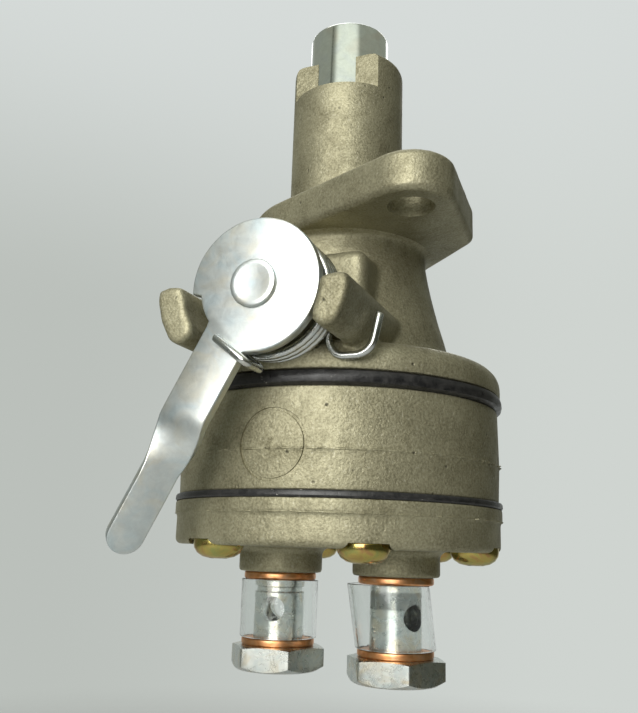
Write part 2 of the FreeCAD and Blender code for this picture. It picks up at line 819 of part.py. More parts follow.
def port(side, sleeve_length, flare, cross_angle):
    """Washer, sleeve, washer and banjo bolt below one port boss, from the top down."""
    x = side * port_offset
    bore = port_thread_radius + 2 * seated_gap
    sleeve_top = boss_bottom - washer_thickness
    sleeve_bottom = sleeve_top - sleeve_length
    under_head = sleeve_bottom - washer_thickness
    sleeve = spun([
        (sleeve_radius - sleeve_wall, sleeve_bottom),
        (sleeve_radius, sleeve_bottom),
        (sleeve_radius + flare, sleeve_top),
        (sleeve_radius + flare - sleeve_wall, sleeve_top),
    ])
    sleeve.translate(Vector(x, 0, 0))
    return {
        "upper_washer": tube(washer_radius, bore, sleeve_top, boss_bottom, x),
        "sleeve": sleeve,
        "lower_washer": tube(washer_radius, bore, under_head, sleeve_bottom, x),
        "banjo_bolt": banjo_bolt(under_head, cross_angle, side),
    }


def priming_lever():
    """The sheet lever: a round hub with a step, and an arm with a wave and a rounded end."""
    half = arm_width / 2
    end = arm_end_width / 2
    tip_start = arm_length - end
    outline = Part.Wire([
        Part.LineSegment(Vector(half, 0, 0), Vector(half, 0, -arm_taper_start)).toShape(),
        Part.LineSegment(Vector(half, 0, -arm_taper_start), Vector(end, 0, -arm_taper_end)).toShape(),
        Part.LineSegment(Vector(end, 0, -arm_taper_end), Vector(end, 0, -tip_start)).toShape(),
        Part.Arc(Vector(end, 0, -tip_start), Vector(0, 0, -arm_length), Vector(-end, 0, -tip_start)).toShape(),
        Part.LineSegment(Vector(-end, 0, -tip_start), Vector(-end, 0, -arm_taper_end)).toShape(),
        Part.LineSegment(Vector(-end, 0, -arm_taper_end), Vector(-half, 0, -arm_taper_start)).toShape(),
        Part.LineSegment(Vector(-half, 0, -arm_taper_start), Vector(-half, 0, 0)).toShape(),
        Part.LineSegment(Vector(-half, 0, 0), Vector(half, 0, 0)).toShape(),
    ])
    depth = 4 * wave_radius
    blank = Part.Face(outline).extrude(Vector(0, depth, 0))
    blank.translate(Vector(0, -depth / 2, 0))
    arm = blank.common(wave_strip())
    arm.translate(Vector(0, -lever_face, 0))
    arm.rotate(Vector(0, 0, 0), Vector(0, 1, 0), arm_lean)
    arm.translate(shaft_axis)

    hub = cylinder(hub_radius, 0, lever_thickness)
    arm_angle = 270.0 - arm_lean
    step = [Vector(0, 0, 0)]
    for angle in (hub_step_angle, (hub_step_angle + arm_angle) / 2, arm_angle):
        reach = 2 * hub_radius
        step.append(Vector(reach * math.cos(math.radians(angle)), reach * math.sin(math.radians(angle)), 0))
    notch = Part.Face(Part.makePolygon(step + step[:1])).extrude(Vector(0, 0, lever_thickness))
    hub = hub.cut(notch).fuse(cylinder(hub_step_radius, 0, lever_thickness))
    hub.translate(Vector(0, 0, lever_face - lever_thickness))
    plate = along_lever(hub).fuse(arm).removeSplitter()
    hole = cylinder(tenon_radius + seated_gap, lever_face - lever_thickness, lever_face)
    return plate.cut(along_lever(hole))


def wave_strip():
    """The lever's side profile swept across it: flat, a shallow wave towards the pump, flat again."""
    turn = math.radians(wave_turn)
    outer = wave_radius + lever_thickness / 2
    inner = wave_radius - lever_thickness / 2
    dip = 2 * wave_radius * (1 - math.cos(turn))
    half_length = 2 * wave_radius * math.sin(turn)
    middle = wave_start + half_length
    first = (wave_radius, wave_start)
    second = (dip - wave_radius, middle)
    third = (wave_radius, middle + half_length)

    def point(centre, radius, angle):
        """A point of the side profile: depth behind the arm's middle plane, and distance along it."""
        depth = centre[0] + radius * math.cos(angle)
        along = centre[1] + radius * math.sin(angle)
        return Vector(0, depth + lever_thickness / 2, -along)

    def face_edges(near, far, start, finish):
        """One face of the strip: near is the radius at the two outer bends, far at the middle one."""
        a = [point(first, -near, t) for t in (0.0, -turn / 2, -turn)]
        b = [point(second, far, t) for t in (-turn, 0.0, turn)]
        c = [point(third, -near, t) for t in (turn, turn / 2, 0.0)]
        return [
            Part.LineSegment(start, a[0]).toShape(),
            Part.Arc(*a).toShape(),
            Part.Arc(*b).toShape(),
            Part.Arc(*c).toShape(),
            Part.LineSegment(c[2], finish).toShape(),
        ]

    top = lever_thickness
    low = arm_length + lever_thickness
    front = face_edges(outer, inner, Vector(0, 0, top), Vector(0, 0, -low))
    back = face_edges(inner, outer, Vector(0, lever_thickness, top), Vector(0, lever_thickness, -low))
    ends = [
        Part.LineSegment(Vector(0, 0, top), Vector(0, lever_thickness, top)).toShape(),
        Part.LineSegment(Vector(0, 0, -low), Vector(0, lever_thickness, -low)).toShape(),
    ]
    wire = Part.Wire(Part.__sortEdges__(front + back + ends))
    strip = Part.Face(wire).extrude(Vector(2 * arm_width, 0, 0))
    strip.translate(Vector(-arm_width, 0, 0))
    return strip


def priming_shaft():
    """The shaft with its crank pin inside and its head riveted over the lever."""
    clip_outer = neck_bore_radius + free_gap - seated_gap
    clip_inner = clip_outer - shaft_clip_thickness - 2 * seated_gap
    clip_floor = shaft_radius - shaft_groove_depth
    ring_reach = o_ring_radius + o_ring_side_gap
    ring_floor = shaft_radius + running_gap - 2 * o_ring_radius - seated_gap
    head_top = lever_face + rivet_height
    body = spun([
        (0, shaft_inner_end),
        (shaft_radius, shaft_inner_end),
        (shaft_radius, clip_inner),
        (clip_floor, clip_inner),
        (clip_floor, clip_outer),
        (shaft_radius, clip_outer),
        (shaft_radius, o_ring_place - ring_reach),
        (ring_floor, o_ring_place - ring_reach),
        (ring_floor, o_ring_place + ring_reach),
        (shaft_radius, o_ring_place + ring_reach),
        (shaft_radius, lever_back),
        (tenon_radius, lever_back),
        (tenon_radius, lever_face),
        (rivet_radius, lever_face),
        (rivet_radius, head_top - rivet_edge_radius),
        rounding(rivet_radius - rivet_edge_radius, head_top - rivet_edge_radius, rivet_edge_radius, 0, 90),
        (rivet_radius / 2, head_top),
        (0, head_top - rivet_dimple),
    ])
    turn = math.radians(lever_travel / 2)
    pin = cylinder(
        crank_radius, crank_reach, shaft_inner_end, -crank_offset * math.cos(turn), crank_offset * math.sin(turn)
    )
    return along_lever(body.fuse(pin))


def shaft_clip():
    outer = neck_bore_radius + free_gap - 2 * seated_gap
    inner = shaft_radius - shaft_groove_depth + seated_gap
    ring = tube(shaft_clip_radius, inner, outer - shaft_clip_thickness, outer)
    half_mouth = inner - shaft_clip_mouth
    mouth = Part.makeBox(2 * half_mouth, shaft_clip_radius, outer)
    mouth.translate(Vector(-half_mouth, -shaft_clip_radius, 0))
    return along_lever(ring.cut(mouth))


def shaft_o_ring():
    centre = shaft_radius + running_gap - seated_gap / 2 - o_ring_radius
    return along_lever(Part.makeTorus(centre, o_ring_radius, Vector(0, 0, o_ring_place), up))


def lever_spring():
    """The torsion spring: a hook round the right lug, a coil round the spigot, a leg over the arm."""
    front = lever_back - lever_wire / 2 - leg_clearance
    turn = 360.0 * lever_turns + spring_front_angle - spring_rear_angle
    whole, part = divmod(turn, 180.0)
    cosine = math.cos(math.radians(part))
    rise = (front - lever_spring_back) / (whole + 0.5 - cosine / 2)
    coils = half_turns(lever_coil_radius, lever_spring_back, rise, turn, spring_rear_angle)

    rear_start = coils[0].valueAt(coils[0].FirstParameter)
    rear_out = rear_start - coils[0].tangentAt(coils[0].FirstParameter) * hook_run
    reach = lever_wire / 2 + hook_clearance
    below = -lug_depth - reach - hook_drop
    hook = bent([
        Vector(lug_outer + reach + hook_side_gap, hook_rise - lug_depth, lever_spring_back),
        Vector(lug_outer - hook_outer_in, below, lever_spring_back),
        Vector(lug_outer - hook_inner_in, below, lever_spring_back),
        rear_out,
        rear_start,
    ], hook_bend_radius)
    over = lever_face + lever_wire / 2 + hook_clearance / 3
    front_start = coils[-1].valueAt(coils[-1].LastParameter)
    front_out = front_start + coils[-1].tangentAt(coils[-1].LastParameter) * leg_run
    lean = math.radians(arm_lean)
    leg_end = Vector(
        leg_end_across * math.cos(lean) - leg_end_along * math.sin(lean),
        -leg_end_across * math.sin(lean) - leg_end_along * math.cos(lean),
        over,
    )
    leg = bent([
        front_start,
        front_out,
        Vector(front_out.x, front_out.y, over),
        leg_end,
    ], leg_bend_radius)
    return along_lever(wire_along(hook + coils + leg, lever_wire))


def save(name, shape):
    shape.exportStep("parts/" + name + ".step")
    print(name, "solids", len(shape.Solids), "volume", round(shape.Volume, 1), "valid", shape.isValid())


def main():
    os.makedirs("parts", exist_ok=True)
    pieces = {
        "upper_housing": upper_housing(),
        "tappet": tappet(),
        "tappet_clip": tappet_clip(),
        "delivery_spring": delivery_spring(),
        "pull_rod": pull_rod(),
        "rod_guide": rod_guide(),
        "rod_seal": rod_seal(),
        "diaphragm": diaphragm(),
        "diaphragm_upper_plate": clamp_plate(membrane_top),
        "diaphragm_lower_plate": clamp_plate(membrane_bottom - plate_thickness),
        "diaphragm_nut": diaphragm_nut(),
        "return_spring": return_spring(),
        "lower_housing": lower_housing(),
        "cover_gasket": cover_gasket(),
        "bottom_cover": bottom_cover(),
        "cover_screws": cover_screws(),
        "priming_lever": priming_lever(),
        "priming_shaft": priming_shaft(),
        "shaft_clip": shaft_clip(),
        "shaft_o_ring": shaft_o_ring(),
        "lever_spring": lever_spring(),
    }
    for name, side, opens_up in (("inlet", -1, True), ("outlet", 1, False)):
        for part, shape in zip(("seat", "disc", "spring", "cage"), valve(side, opens_up)):
            pieces[name + "_valve_" + part] = shape
    ports = {
        "inlet": port(-1, inlet_sleeve_length, 0.0, inlet_cross_angle),
        "outlet": port(1, outlet_sleeve_length, outlet_sleeve_flare, outlet_cross_angle),
    }
    for name, parts in ports.items():
        for part, shape in parts.items():
            pieces[name + "_" + part] = shape
    for name, shape in pieces.items():
        save(name, shape)


main()
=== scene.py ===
# %% [markdown]
# # A fuel lift pump, step by step
# The pump was first drawn as solids, and that model is loaded here as a fixed frame. Each step below
# takes one piece of it, says what the real piece is, and gives it the shape and the finish that the eye
# expects. The solids stay where they are, and every new piece stands in the same place in metres.

# %% Load the frame
import math

import bmesh
import bpy
from mathutils import Matrix, Vector


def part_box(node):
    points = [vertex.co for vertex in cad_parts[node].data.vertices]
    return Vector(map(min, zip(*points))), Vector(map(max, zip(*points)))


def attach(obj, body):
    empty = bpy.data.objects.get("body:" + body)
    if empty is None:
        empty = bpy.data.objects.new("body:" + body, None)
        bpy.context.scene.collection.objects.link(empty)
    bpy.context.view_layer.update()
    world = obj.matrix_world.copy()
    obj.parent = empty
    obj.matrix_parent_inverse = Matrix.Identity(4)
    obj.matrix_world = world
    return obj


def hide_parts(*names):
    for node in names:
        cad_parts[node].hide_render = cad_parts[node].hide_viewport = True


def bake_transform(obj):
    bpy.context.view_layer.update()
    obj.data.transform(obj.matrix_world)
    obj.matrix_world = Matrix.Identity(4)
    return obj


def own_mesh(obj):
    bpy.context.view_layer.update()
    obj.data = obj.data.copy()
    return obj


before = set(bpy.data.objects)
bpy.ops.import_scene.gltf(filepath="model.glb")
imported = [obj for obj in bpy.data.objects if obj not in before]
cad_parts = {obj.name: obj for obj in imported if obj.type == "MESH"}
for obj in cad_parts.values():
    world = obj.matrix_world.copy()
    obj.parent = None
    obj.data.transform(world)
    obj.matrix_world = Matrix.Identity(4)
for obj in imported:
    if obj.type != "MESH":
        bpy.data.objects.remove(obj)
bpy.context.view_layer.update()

# %% [markdown]
# ## Sizes
# Shapes are easiest to think about in millimetres, so every helper takes millimetres and the last step of
# each piece scales it to metres. The levels below are heights along the pump's axis, with zero at the
# upper face of the mounting flange. The priming shaft lies along -Y, 27 mm below that face.

# %% Levels and sizes in millimetres
MM = 0.001
FLANGE_BOTTOM = -8.0
SNOUT_TOP = 37.2
TIP = 46.2
CAP_TOP = -33.7
CAP_BOTTOM = -39.7
LOWER_TOP = -42.5
LOWER_BOTTOM = -60.5
COVER_TOP = -61.7
COVER_BOTTOM = -70.0
BOSS_BOTTOM = -75.0
SHAFT_DROP = 27.0
PORT_OFFSET = 12.5
SCREW_CIRCLE = 28.0
LEVER_FACE = 42.6
HOLE_ANGLE, HOLE_OFFSET, HOLE_RADIUS = 43.0, 32.0, 4.5
SCREW_HOLE = 2.75
WASHER = 1.5
CASTING_VOXEL = 0.42
ACROSS_FLATS = 17.0


def heading(angle, distance, z=0.0):
    """A point at an angle from -Y towards +X, at a distance from the pump's axis."""
    turn = math.radians(angle)
    return Vector((distance * math.sin(turn), -distance * math.cos(turn), z))


def turned(angle, axis="Z"):
    """A turn by an angle in degrees."""
    return Matrix.Rotation(math.radians(angle), 4, axis)


def onto_shaft():
    """Turns a shape built along +Z about the pump's axis onto the priming shaft's axis."""
    return Matrix.Translation((0, 0, -SHAFT_DROP)) @ turned(90, "X")


def at_port(side):
    """Moves a shape to a port, the inlet at -1 and the outlet at 1."""
    return Matrix.Translation((side * PORT_OFFSET, 0, 0))


screw_places = [heading(30 + 60 * i, SCREW_CIRCLE) for i in range(6)]
print("six cover screws on a circle of", SCREW_CIRCLE, "mm")

# %% [markdown]
# ## The camera
# The photograph was taken close to the pump, a little below its middle and looking up at it, so the
# perspective is strong: the ports seem large and the tappet small. A camera is placed by its position,
# the direction that it looks in and a small roll about that direction.

# %% Place the camera
bpy.context.scene.view_settings.view_transform = "Standard"
CAMERA_PLACE = Vector((0.05957, -0.15683, -0.06980))
CAMERA_LOOK = Vector((-0.37225, 0.89884, 0.23139)).normalized()
CAMERA_ROLL = math.radians(1.835)
CAMERA_LENS = 40.39


def add_camera():
    level_right = CAMERA_LOOK.cross(Vector((0, 0, 1))).normalized()
    level_up = level_right.cross(CAMERA_LOOK)
    right = level_right * math.cos(CAMERA_ROLL) + level_up * math.sin(CAMERA_ROLL)
    upward = level_up * math.cos(CAMERA_ROLL) - level_right * math.sin(CAMERA_ROLL)
    turn = Matrix((right, upward, -CAMERA_LOOK)).transposed().to_4x4()
    data = bpy.data.cameras.new("camera")
    data.lens = CAMERA_LENS
    data.clip_start = 0.005
    camera = bpy.data.objects.new("camera", data)
    camera.matrix_world = Matrix.Translation(CAMERA_PLACE) @ turn
    bpy.context.scene.collection.objects.link(camera)
    bpy.context.scene.camera = camera
    return camera


print("camera", [round(v, 4) for v in add_camera().location])

# %% [markdown]
# ## Making meshes
# Most pieces of a pump are turned or cast round an axis, so an outline spun about Z makes them. Sharp
# corners never look real, because every edge of a real piece has a small radius that catches the light.
# The outline therefore takes a radius at each corner. Each helper returns one closed shell in its own
# bmesh, and shells are put together only when a piece is finished.

# %% Outlines and spun shells
def softened(corners, steps=5):
    """An outline of (r, z) points where a corner given as (r, z, radius) is rounded."""
    points = []
    for i, corner in enumerate(corners):
        here = Vector(corner[:2])
        if len(corner) < 3:
            points.append(here)
            continue
        back = (Vector(corners[i - 1][:2]) - here).normalized()
        ahead = (Vector(corners[(i + 1) % len(corners)][:2]) - here).normalized()
        half = back.angle(ahead) / 2
        centre = here + (back + ahead).normalized() * corner[2] / math.sin(half)
        start = here + back * corner[2] / math.tan(half) - centre
        end = here + ahead * corner[2] / math.tan(half) - centre
        for step in range(steps + 1):
            share = step / steps
            mixed = start * (1 - share) + end * share
            points.append(centre + mixed.normalized() * corner[2])
    return points


def placed(bm, place=None):
    """Merges a shell's doubles, puts it in its place and points its faces outwards."""
    bmesh.ops.remove_doubles(bm, verts=bm.verts[:], dist=1e-4)
    if place is not None:
        bmesh.ops.transform(bm, matrix=place, verts=bm.verts[:])
    bmesh.ops.recalc_face_normals(bm, faces=bm.faces[:])
    return bm


def spun(corners, segments=128, closed=False, place=None):
    """A shell spun about Z. closed joins the outline's last point to its first, for a ring."""
    bm = bmesh.new()
    verts = [bm.verts.new((p.x, 0, p.y)) for p in softened(corners)]
    edges = [bm.edges.new(pair) for pair in zip(verts, verts[1:])]
    if closed:
        edges.append(bm.edges.new((verts[-1], verts[0])))
    bmesh.ops.spin(
        bm, geom=verts + edges, cent=(0, 0, 0), axis=(0, 0, 1), dvec=(0, 0, 0),
        angle=math.tau, steps=segments, use_merge=True, use_duplicate=False,
    )
    return placed(bm, place)


def rod(radius, bottom, top, x=0.0, y=0.0, segments=64, place=None):
    """A plain round bar, mostly for cutting holes."""
    at = Matrix.Translation((x, y, (bottom + top) / 2))
    bm = bmesh.new()
    bmesh.ops.create_cone(
        bm, cap_ends=True, segments=segments, radius1=radius, radius2=radius, depth=top - bottom, matrix=at,
    )
    return placed(bm, place)


def round_edges(bm, edges, offset, segments):
    bmesh.ops.bevel(
        bm, geom=edges, offset=offset, segments=segments, affect="EDGES", profile=0.5, material=-1,
        offset_type="OFFSET",
    )


def block(low, high, bevel=0.0, segments=4, place=None):
    """A box between two corners, with all its edges rounded."""
    low, high = Vector(low), Vector(high)
    size = high - low
    bm = bmesh.new()
    at = Matrix.Translation((low + high) / 2) @ Matrix.Diagonal((*size, 1))
    bmesh.ops.create_cube(bm, size=1.0, matrix=at)
    if bevel:
        round_edges(bm, bm.edges[:], bevel, segments)
    return placed(bm, place)


def prism(points, depth, place=None):
    """A flat outline in X and Y, extruded along Z."""
    bm = bmesh.new()
    face = bm.faces.new([bm.verts.new((p[0], p[1], 0)) for p in points])
    made = bmesh.ops.extrude_face_region(bm, geom=[face])
    top = [g for g in made["geom"] if isinstance(g, bmesh.types.BMVert)]
    bmesh.ops.translate(bm, verts=top, vec=(0, 0, depth))
    return placed(bm, place)


def together(*shells):
    """One bmesh from several, each of which is used up."""
    whole = bmesh.new()
    for bm in shells:
        mesh = bpy.data.meshes.new("shell")
        bm.to_mesh(mesh)
        bm.free()
        whole.from_mesh(mesh)
        bpy.data.meshes.remove(mesh)
    return whole


print("mesh helpers ready")

# %% [markdown]
# ## Turning shells into pieces
# A piece becomes an object in metres at the origin. Then it rides on the body that carries it, takes the
# finish of its slot, and stands in for the solids that it replaces. Castings have no
# crisp corners, so their shells are joined by a fine voxel remesh and then relaxed, which leaves a
# small natural radius in every corner. Holes that a machine cut later are subtracted after that.

# %% Objects, remeshing and cutting
def as_object(name, bm):
    bmesh.ops.transform(bm, matrix=Matrix.Scale(MM, 4), verts=bm.verts[:])
    mesh = bpy.data.meshes.new(name)
    bm.to_mesh(mesh)
    bm.free()
    thing = bpy.data.objects.new(name, mesh)
    bpy.context.scene.collection.objects.link(thing)
    return thing


def applied(thing):
    """Applies every modifier of an object."""
    bpy.context.view_layer.update()
    graph = bpy.context.evaluated_depsgraph_get()
    mesh = bpy.data.meshes.new_from_object(thing.evaluated_get(graph))
    thing.modifiers.clear()
    old = thing.data
    thing.data = mesh
    bpy.data.meshes.remove(old)
    mesh.name = thing.name
    return thing


def cast(thing, voxel, relax=6):
    """Joins overlapping shells as one casting with small radii in its corners."""
    remesh = thing.modifiers.new("remesh", "REMESH")
    remesh.mode = "VOXEL"
    remesh.voxel_size = voxel * MM
    smooth = thing.modifiers.new("relax", "SMOOTH")
    smooth.factor = 0.5
    smooth.iterations = relax
    return applied(thing)


def combine(thing, operation, *shells):
    """Joins an object with closed shells, crosses it with them or subtracts them from it."""
    for bm in shells:
        other = as_object("other", bm)
        boolean = thing.modifiers.new("boolean", "BOOLEAN")
        boolean.operation, boolean.solver, boolean.object = operation, "EXACT", other
        applied(thing)
        bpy.data.objects.remove(other)
    return thing


def cut(thing, *shells):
    return combine(thing, "DIFFERENCE", *shells)


def at_screws(radius, bottom, top, segments=32):
    """A round cutter at each cover screw."""
    return [rod(radius, bottom, top, p.x, p.y, segments) for p in screw_places]


def with_shell(thing, bm):
    """Adds one more closed shell to an object's mesh."""
    extra = as_object("extra", bm)
    whole = bmesh.new()
    whole.from_mesh(thing.data)
    whole.from_mesh(extra.data)
    whole.to_mesh(thing.data)
    whole.free()
    bpy.data.objects.remove(extra)
    return thing


def shade(thing, material, smooth_below):
    """Smooth shading with crisp corners, and a material."""
    thing.data.shade_smooth()
    thing.data.set_sharp_from_angle(angle=math.radians(smooth_below))
    thing.data.materials.clear()
    thing.data.materials.append(material)


def piece(thing, body, slot, stands_for=(), smooth_below=35, material=None):
    """Finishes a piece: its shading, its body, its finish and the solids that it replaces."""
    shade(thing, material or FINISH[slot], smooth_below)
    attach(thing, body)
    if stands_for:
        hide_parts(*stands_for)
    thing.data.calc_loop_triangles()
    print(thing.name, len(thing.data.loop_triangles), "triangles")
    return thing


print("piece helpers ready")

# %% [markdown]
# ## Effects that several finishes share
# A finish is a Principled shader with its colour, roughness and bump worked out from noise. What several
# finishes need is built once as a node group: the grain of a casting, the cloudy tone of plated steel, and
# the fine lines that a grinding wheel leaves. The groups read Object coordinates, so the grain has
# the same size on every piece.

# %% Building node groups
def start_group(name, inputs, outputs):
    """A shader node group with float or colour sockets. inputs maps a name to its value."""
    tree = bpy.data.node_groups.new(name, "ShaderNodeTree")
    for label, value in inputs.items():
        kind = "NodeSocketColor" if isinstance(value, tuple) else "NodeSocketFloat"
        socket = tree.interface.new_socket(label, in_out="INPUT", socket_type=kind)
        socket.default_value = value
    for label, kind in outputs.items():
        tree.interface.new_socket(label, in_out="OUTPUT", socket_type=kind)
    return tree, tree.nodes.new("NodeGroupInput"), tree.nodes.new("NodeGroupOutput")


COLOUR = "NodeSocketColor"
VALUE = "NodeSocketFloat"


def add(tree, kind, settings=None, **links):
    """Adds a node. settings are its properties; links give a socket a value or another socket."""
    node = tree.nodes.new(kind)
    for key, value in (settings or {}).items():
        setattr(node, key, value)
    for key, value in links.items():
        by_number = key[0] == "i" and key[1:].isdigit()
        socket = node.inputs[int(key[1:]) if by_number else key.replace("_", " ")]
        if isinstance(value, bpy.types.NodeSocket):
            tree.links.new(value, socket)
        else:
            socket.default_value = value
    return node


def feed(tree, node, **links):
    """Links other nodes' sockets to a node's inputs."""
    for key, value in links.items():
        tree.links.new(value, node.inputs[key.replace("_", " ")])


def maths(tree, operation, first, second=0.0, clamp=False):
    settings = {"operation": operation, "use_clamp": clamp}
    return add(tree, "ShaderNodeMath", settings, i0=first, i1=second).outputs[0]


def blend_colours(tree, factor, first, second, kind="MIX"):
    settings = {"data_type": "RGBA", "blend_type": kind}
    return add(tree, "ShaderNodeMix", settings, i0=factor, i6=first, i7=second).outputs[2]


def remap(tree, value, low, high, new_low=0.0, new_high=1.0, kind="LINEAR"):
    settings = {"clamp": True, "interpolation_type": kind}
    node = add(tree, "ShaderNodeMapRange", settings, i0=value, i1=low, i2=high, i3=new_low, i4=new_high)
    return node.outputs[0]


def noise(tree, coords, size, detail=2.0, roughness=0.5, distortion=0.0):
    """Noise whose lumps are about size millimetres wide."""
    node = add(
        tree, "ShaderNodeTexNoise", None, Vector=coords, Scale=1000.0 / size,
        Detail=detail, Roughness=roughness, Distortion=distortion,
    )
    return node.outputs["Fac"]


print("group helpers ready")

# %% [markdown]
# ### Cast grain
# A die casting comes out of the mould with a fine pebbled skin, cloudy patches where the metal cooled
# at different speeds, and scattered pits. Two sizes of noise give the skin, a large one gives
# the clouds, and cells thinned by a threshold give the pits. The fine noise also mixes small bright
# specks into the colour, which are painted glints.

# %% The cast grain group
def cast_grain():
    tree, given, result = start_group(
        "cast grain",
        {"Tone": (0.4, 0.38, 0.28, 1), "Shade": (0.2, 0.18, 0.12, 1), "Bright": (0.7, 0.68, 0.6, 1)},
        {"Color": COLOUR, "Roughness": VALUE, "Height": VALUE},
    )
    coords = tree.nodes.new("ShaderNodeTexCoord").outputs["Object"]
    fine = noise(tree, coords, 0.42, 3.0, 0.65)
    pebble = noise(tree, coords, 1.3, 2.0, 0.5, 0.3)
    cloud = noise(tree, coords, 16.0, 3.0, 0.55, 0.6)
    stain = noise(tree, coords, 5.0, 4.0, 0.65, 0.4)
    cells = add(tree, "ShaderNodeTexVoronoi", {"feature": "F1"}, Vector=coords, Scale=420.0)
    pits = remap(tree, cells.outputs["Distance"], 0.02, 0.16, 1.0, 0.0)
    rare = remap(tree, noise(tree, coords, 3.0, 1.0), 0.56, 0.66)
    pits = maths(tree, "MULTIPLY", pits, rare)
    clouded, stained = remap(tree, cloud, 0.35, 0.7, 0.0, 0.55), remap(tree, stain, 0.5, 0.75, 0.0, 0.35)
    dark = maths(tree, "ADD", clouded, stained)
    dark = maths(tree, "ADD", dark, remap(tree, fine, 0.46, 0.62, 0.0, 0.4), clamp=True)
    tone = blend_colours(tree, dark, given.outputs["Tone"], given.outputs["Shade"])
    # Painted glints: where the fine noise is low, the colour goes part of the way to the Bright colour, a
    # painted highlight on the grain.
    painted_glints = remap(tree, fine, 0.28, 0.4, 0.3, 0.0)
    tone = blend_colours(tree, painted_glints, tone, given.outputs["Bright"])
    tone = blend_colours(tree, maths(tree, "MULTIPLY", pits, 0.8), tone, (0.03, 0.028, 0.02, 1))
    height = maths(tree, "ADD", maths(tree, "MULTIPLY", fine, 0.45), maths(tree, "MULTIPLY", pebble, 0.55))
    height = maths(tree, "SUBTRACT", height, maths(tree, "MULTIPLY", pits, 0.8))
    rough = remap(tree, stain, 0.3, 0.7, 0.46, 0.6)
    feed(tree, result, Color=tone, Roughness=rough, Height=height)
    return tree


CAST_GRAIN = cast_grain()
print("cast grain has", len(CAST_GRAIN.nodes), "nodes")

# %% [markdown]
# ### Plated steel
# Zinc plating is bright and slightly milky, with a faint blue and straw tint that drifts over the
# surface, small dull smears and tiny dents. The same group with stronger tints makes yellow
# passivated screws.

# %% The plating group
def plating():
    tree, given, result = start_group(
        "plating",
        {"Tone": (0.75, 0.78, 0.78, 1), "Tint": (0.6, 0.72, 0.8, 1), "Warm": (0.8, 0.74, 0.6, 1),
         "Tint size": 6.0, "Smear": 0.12, "Gloss": 0.3},
        {"Color": COLOUR, "Roughness": VALUE, "Height": VALUE},
    )
    coords = tree.nodes.new("ShaderNodeTexCoord").outputs["Object"]
    scale = maths(tree, "DIVIDE", 1000.0, given.outputs["Tint size"])
    drift = add(tree, "ShaderNodeTexNoise", None, Vector=coords, Scale=scale, Detail=2.0, Distortion=1.2)
    cool = remap(tree, drift.outputs["Fac"], 0.5, 0.68, 0.0, 0.7)
    warm = remap(tree, drift.outputs["Fac"], 0.48, 0.32, 0.0, 0.7)
    tone = blend_colours(tree, cool, given.outputs["Tone"], given.outputs["Tint"])
    tone = blend_colours(tree, warm, tone, given.outputs["Warm"])
    smear = noise(tree, coords, 2.2, 5.0, 0.7, 0.8)
    fleck = noise(tree, coords, 0.5, 2.0, 0.6)
    rough = maths(tree, "ADD", given.outputs["Gloss"], maths(tree, "MULTIPLY", smear, given.outputs["Smear"]))
    shade = remap(tree, smear, 0.35, 0.7, 0.86, 1.0)
    grey = add(tree, "ShaderNodeCombineColor", None, Red=shade, Green=shade, Blue=shade).outputs[0]
    tone = blend_colours(tree, 1.0, tone, grey, "MULTIPLY")
    height = maths(tree, "ADD", maths(tree, "MULTIPLY", fleck, 0.4), maths(tree, "MULTIPLY", smear, 0.6))
    feed(tree, result, Color=tone, Roughness=rough, Height=height)
    return tree


PLATING = plating()
print("plating has", len(PLATING.nodes), "nodes")

# %% [markdown]
# ### Turned lines
# A lathe or a grinding wheel leaves fine lines round the axis of a piece. Noise that is squeezed along Z
# and stretched the other ways gives rings whose spacing varies a little.

# %% The turned lines group
def turned_lines():
    tree, given, result = start_group("turned lines", {"Spacing": 0.25}, {"Lines": VALUE})
    coords = tree.nodes.new("ShaderNodeTexCoord").outputs["Object"]
    squeeze = add(tree, "ShaderNodeMapping", None, Vector=coords, Scale=(0.04, 0.04, 1.0)).outputs[0]
    scale = maths(tree, "DIVIDE", 1000.0, given.outputs["Spacing"])
    lines = add(tree, "ShaderNodeTexNoise", None, Vector=squeeze, Scale=scale, Detail=3.0, Roughness=0.7)
    feed(tree, result, Lines=lines.outputs["Fac"])
    return tree


TURNED_LINES = turned_lines()
print("turned lines has", len(TURNED_LINES.nodes), "nodes")

# %% [markdown]
# ## The finishes
# Each finish is one material. Its Principled shader stays in the material, and the groups feed it. Values
# that are the same all over, such as the index of refraction, are set on the shader itself.

# %% Material helpers and the metal finishes
def start_material(name, **constants):
    material = bpy.data.materials.new(name)
    material.use_nodes = True
    tree = material.node_tree
    shader = tree.nodes["Principled BSDF"]
    for key, value in constants.items():
        shader.inputs[key.replace("_", " ")].default_value = value
    return material, tree, shader


def bump(tree, shader, height, depth):
    """Height in node units, depth in millimetres."""
    node = add(tree, "ShaderNodeBump", None, Height=height, Distance=depth * MM, Strength=1.0)
    feed(tree, shader, Normal=node.outputs["Normal"])


def coated(name, group, metallic, depth, **values):
    """A metal whose colour, roughness and bump come from a group."""
    material, tree, shader = start_material(name, Metallic=metallic)
    coat = add(tree, "ShaderNodeGroup", {"node_tree": group}, **values)
    feed(tree, shader, Base_Color=coat.outputs["Color"], Roughness=coat.outputs["Roughness"])
    bump(tree, shader, coat.outputs["Height"], depth)
    return material


def plated(name, tone, tint, warm, gloss=0.3, smear=0.12, size=6.0, metallic=0.92, depth=0.02):
    return coated(
        name, PLATING, metallic, depth,
        Tone=tone, Tint=tint, Warm=warm, Gloss=gloss, Smear=smear, Tint_size=size,
    )


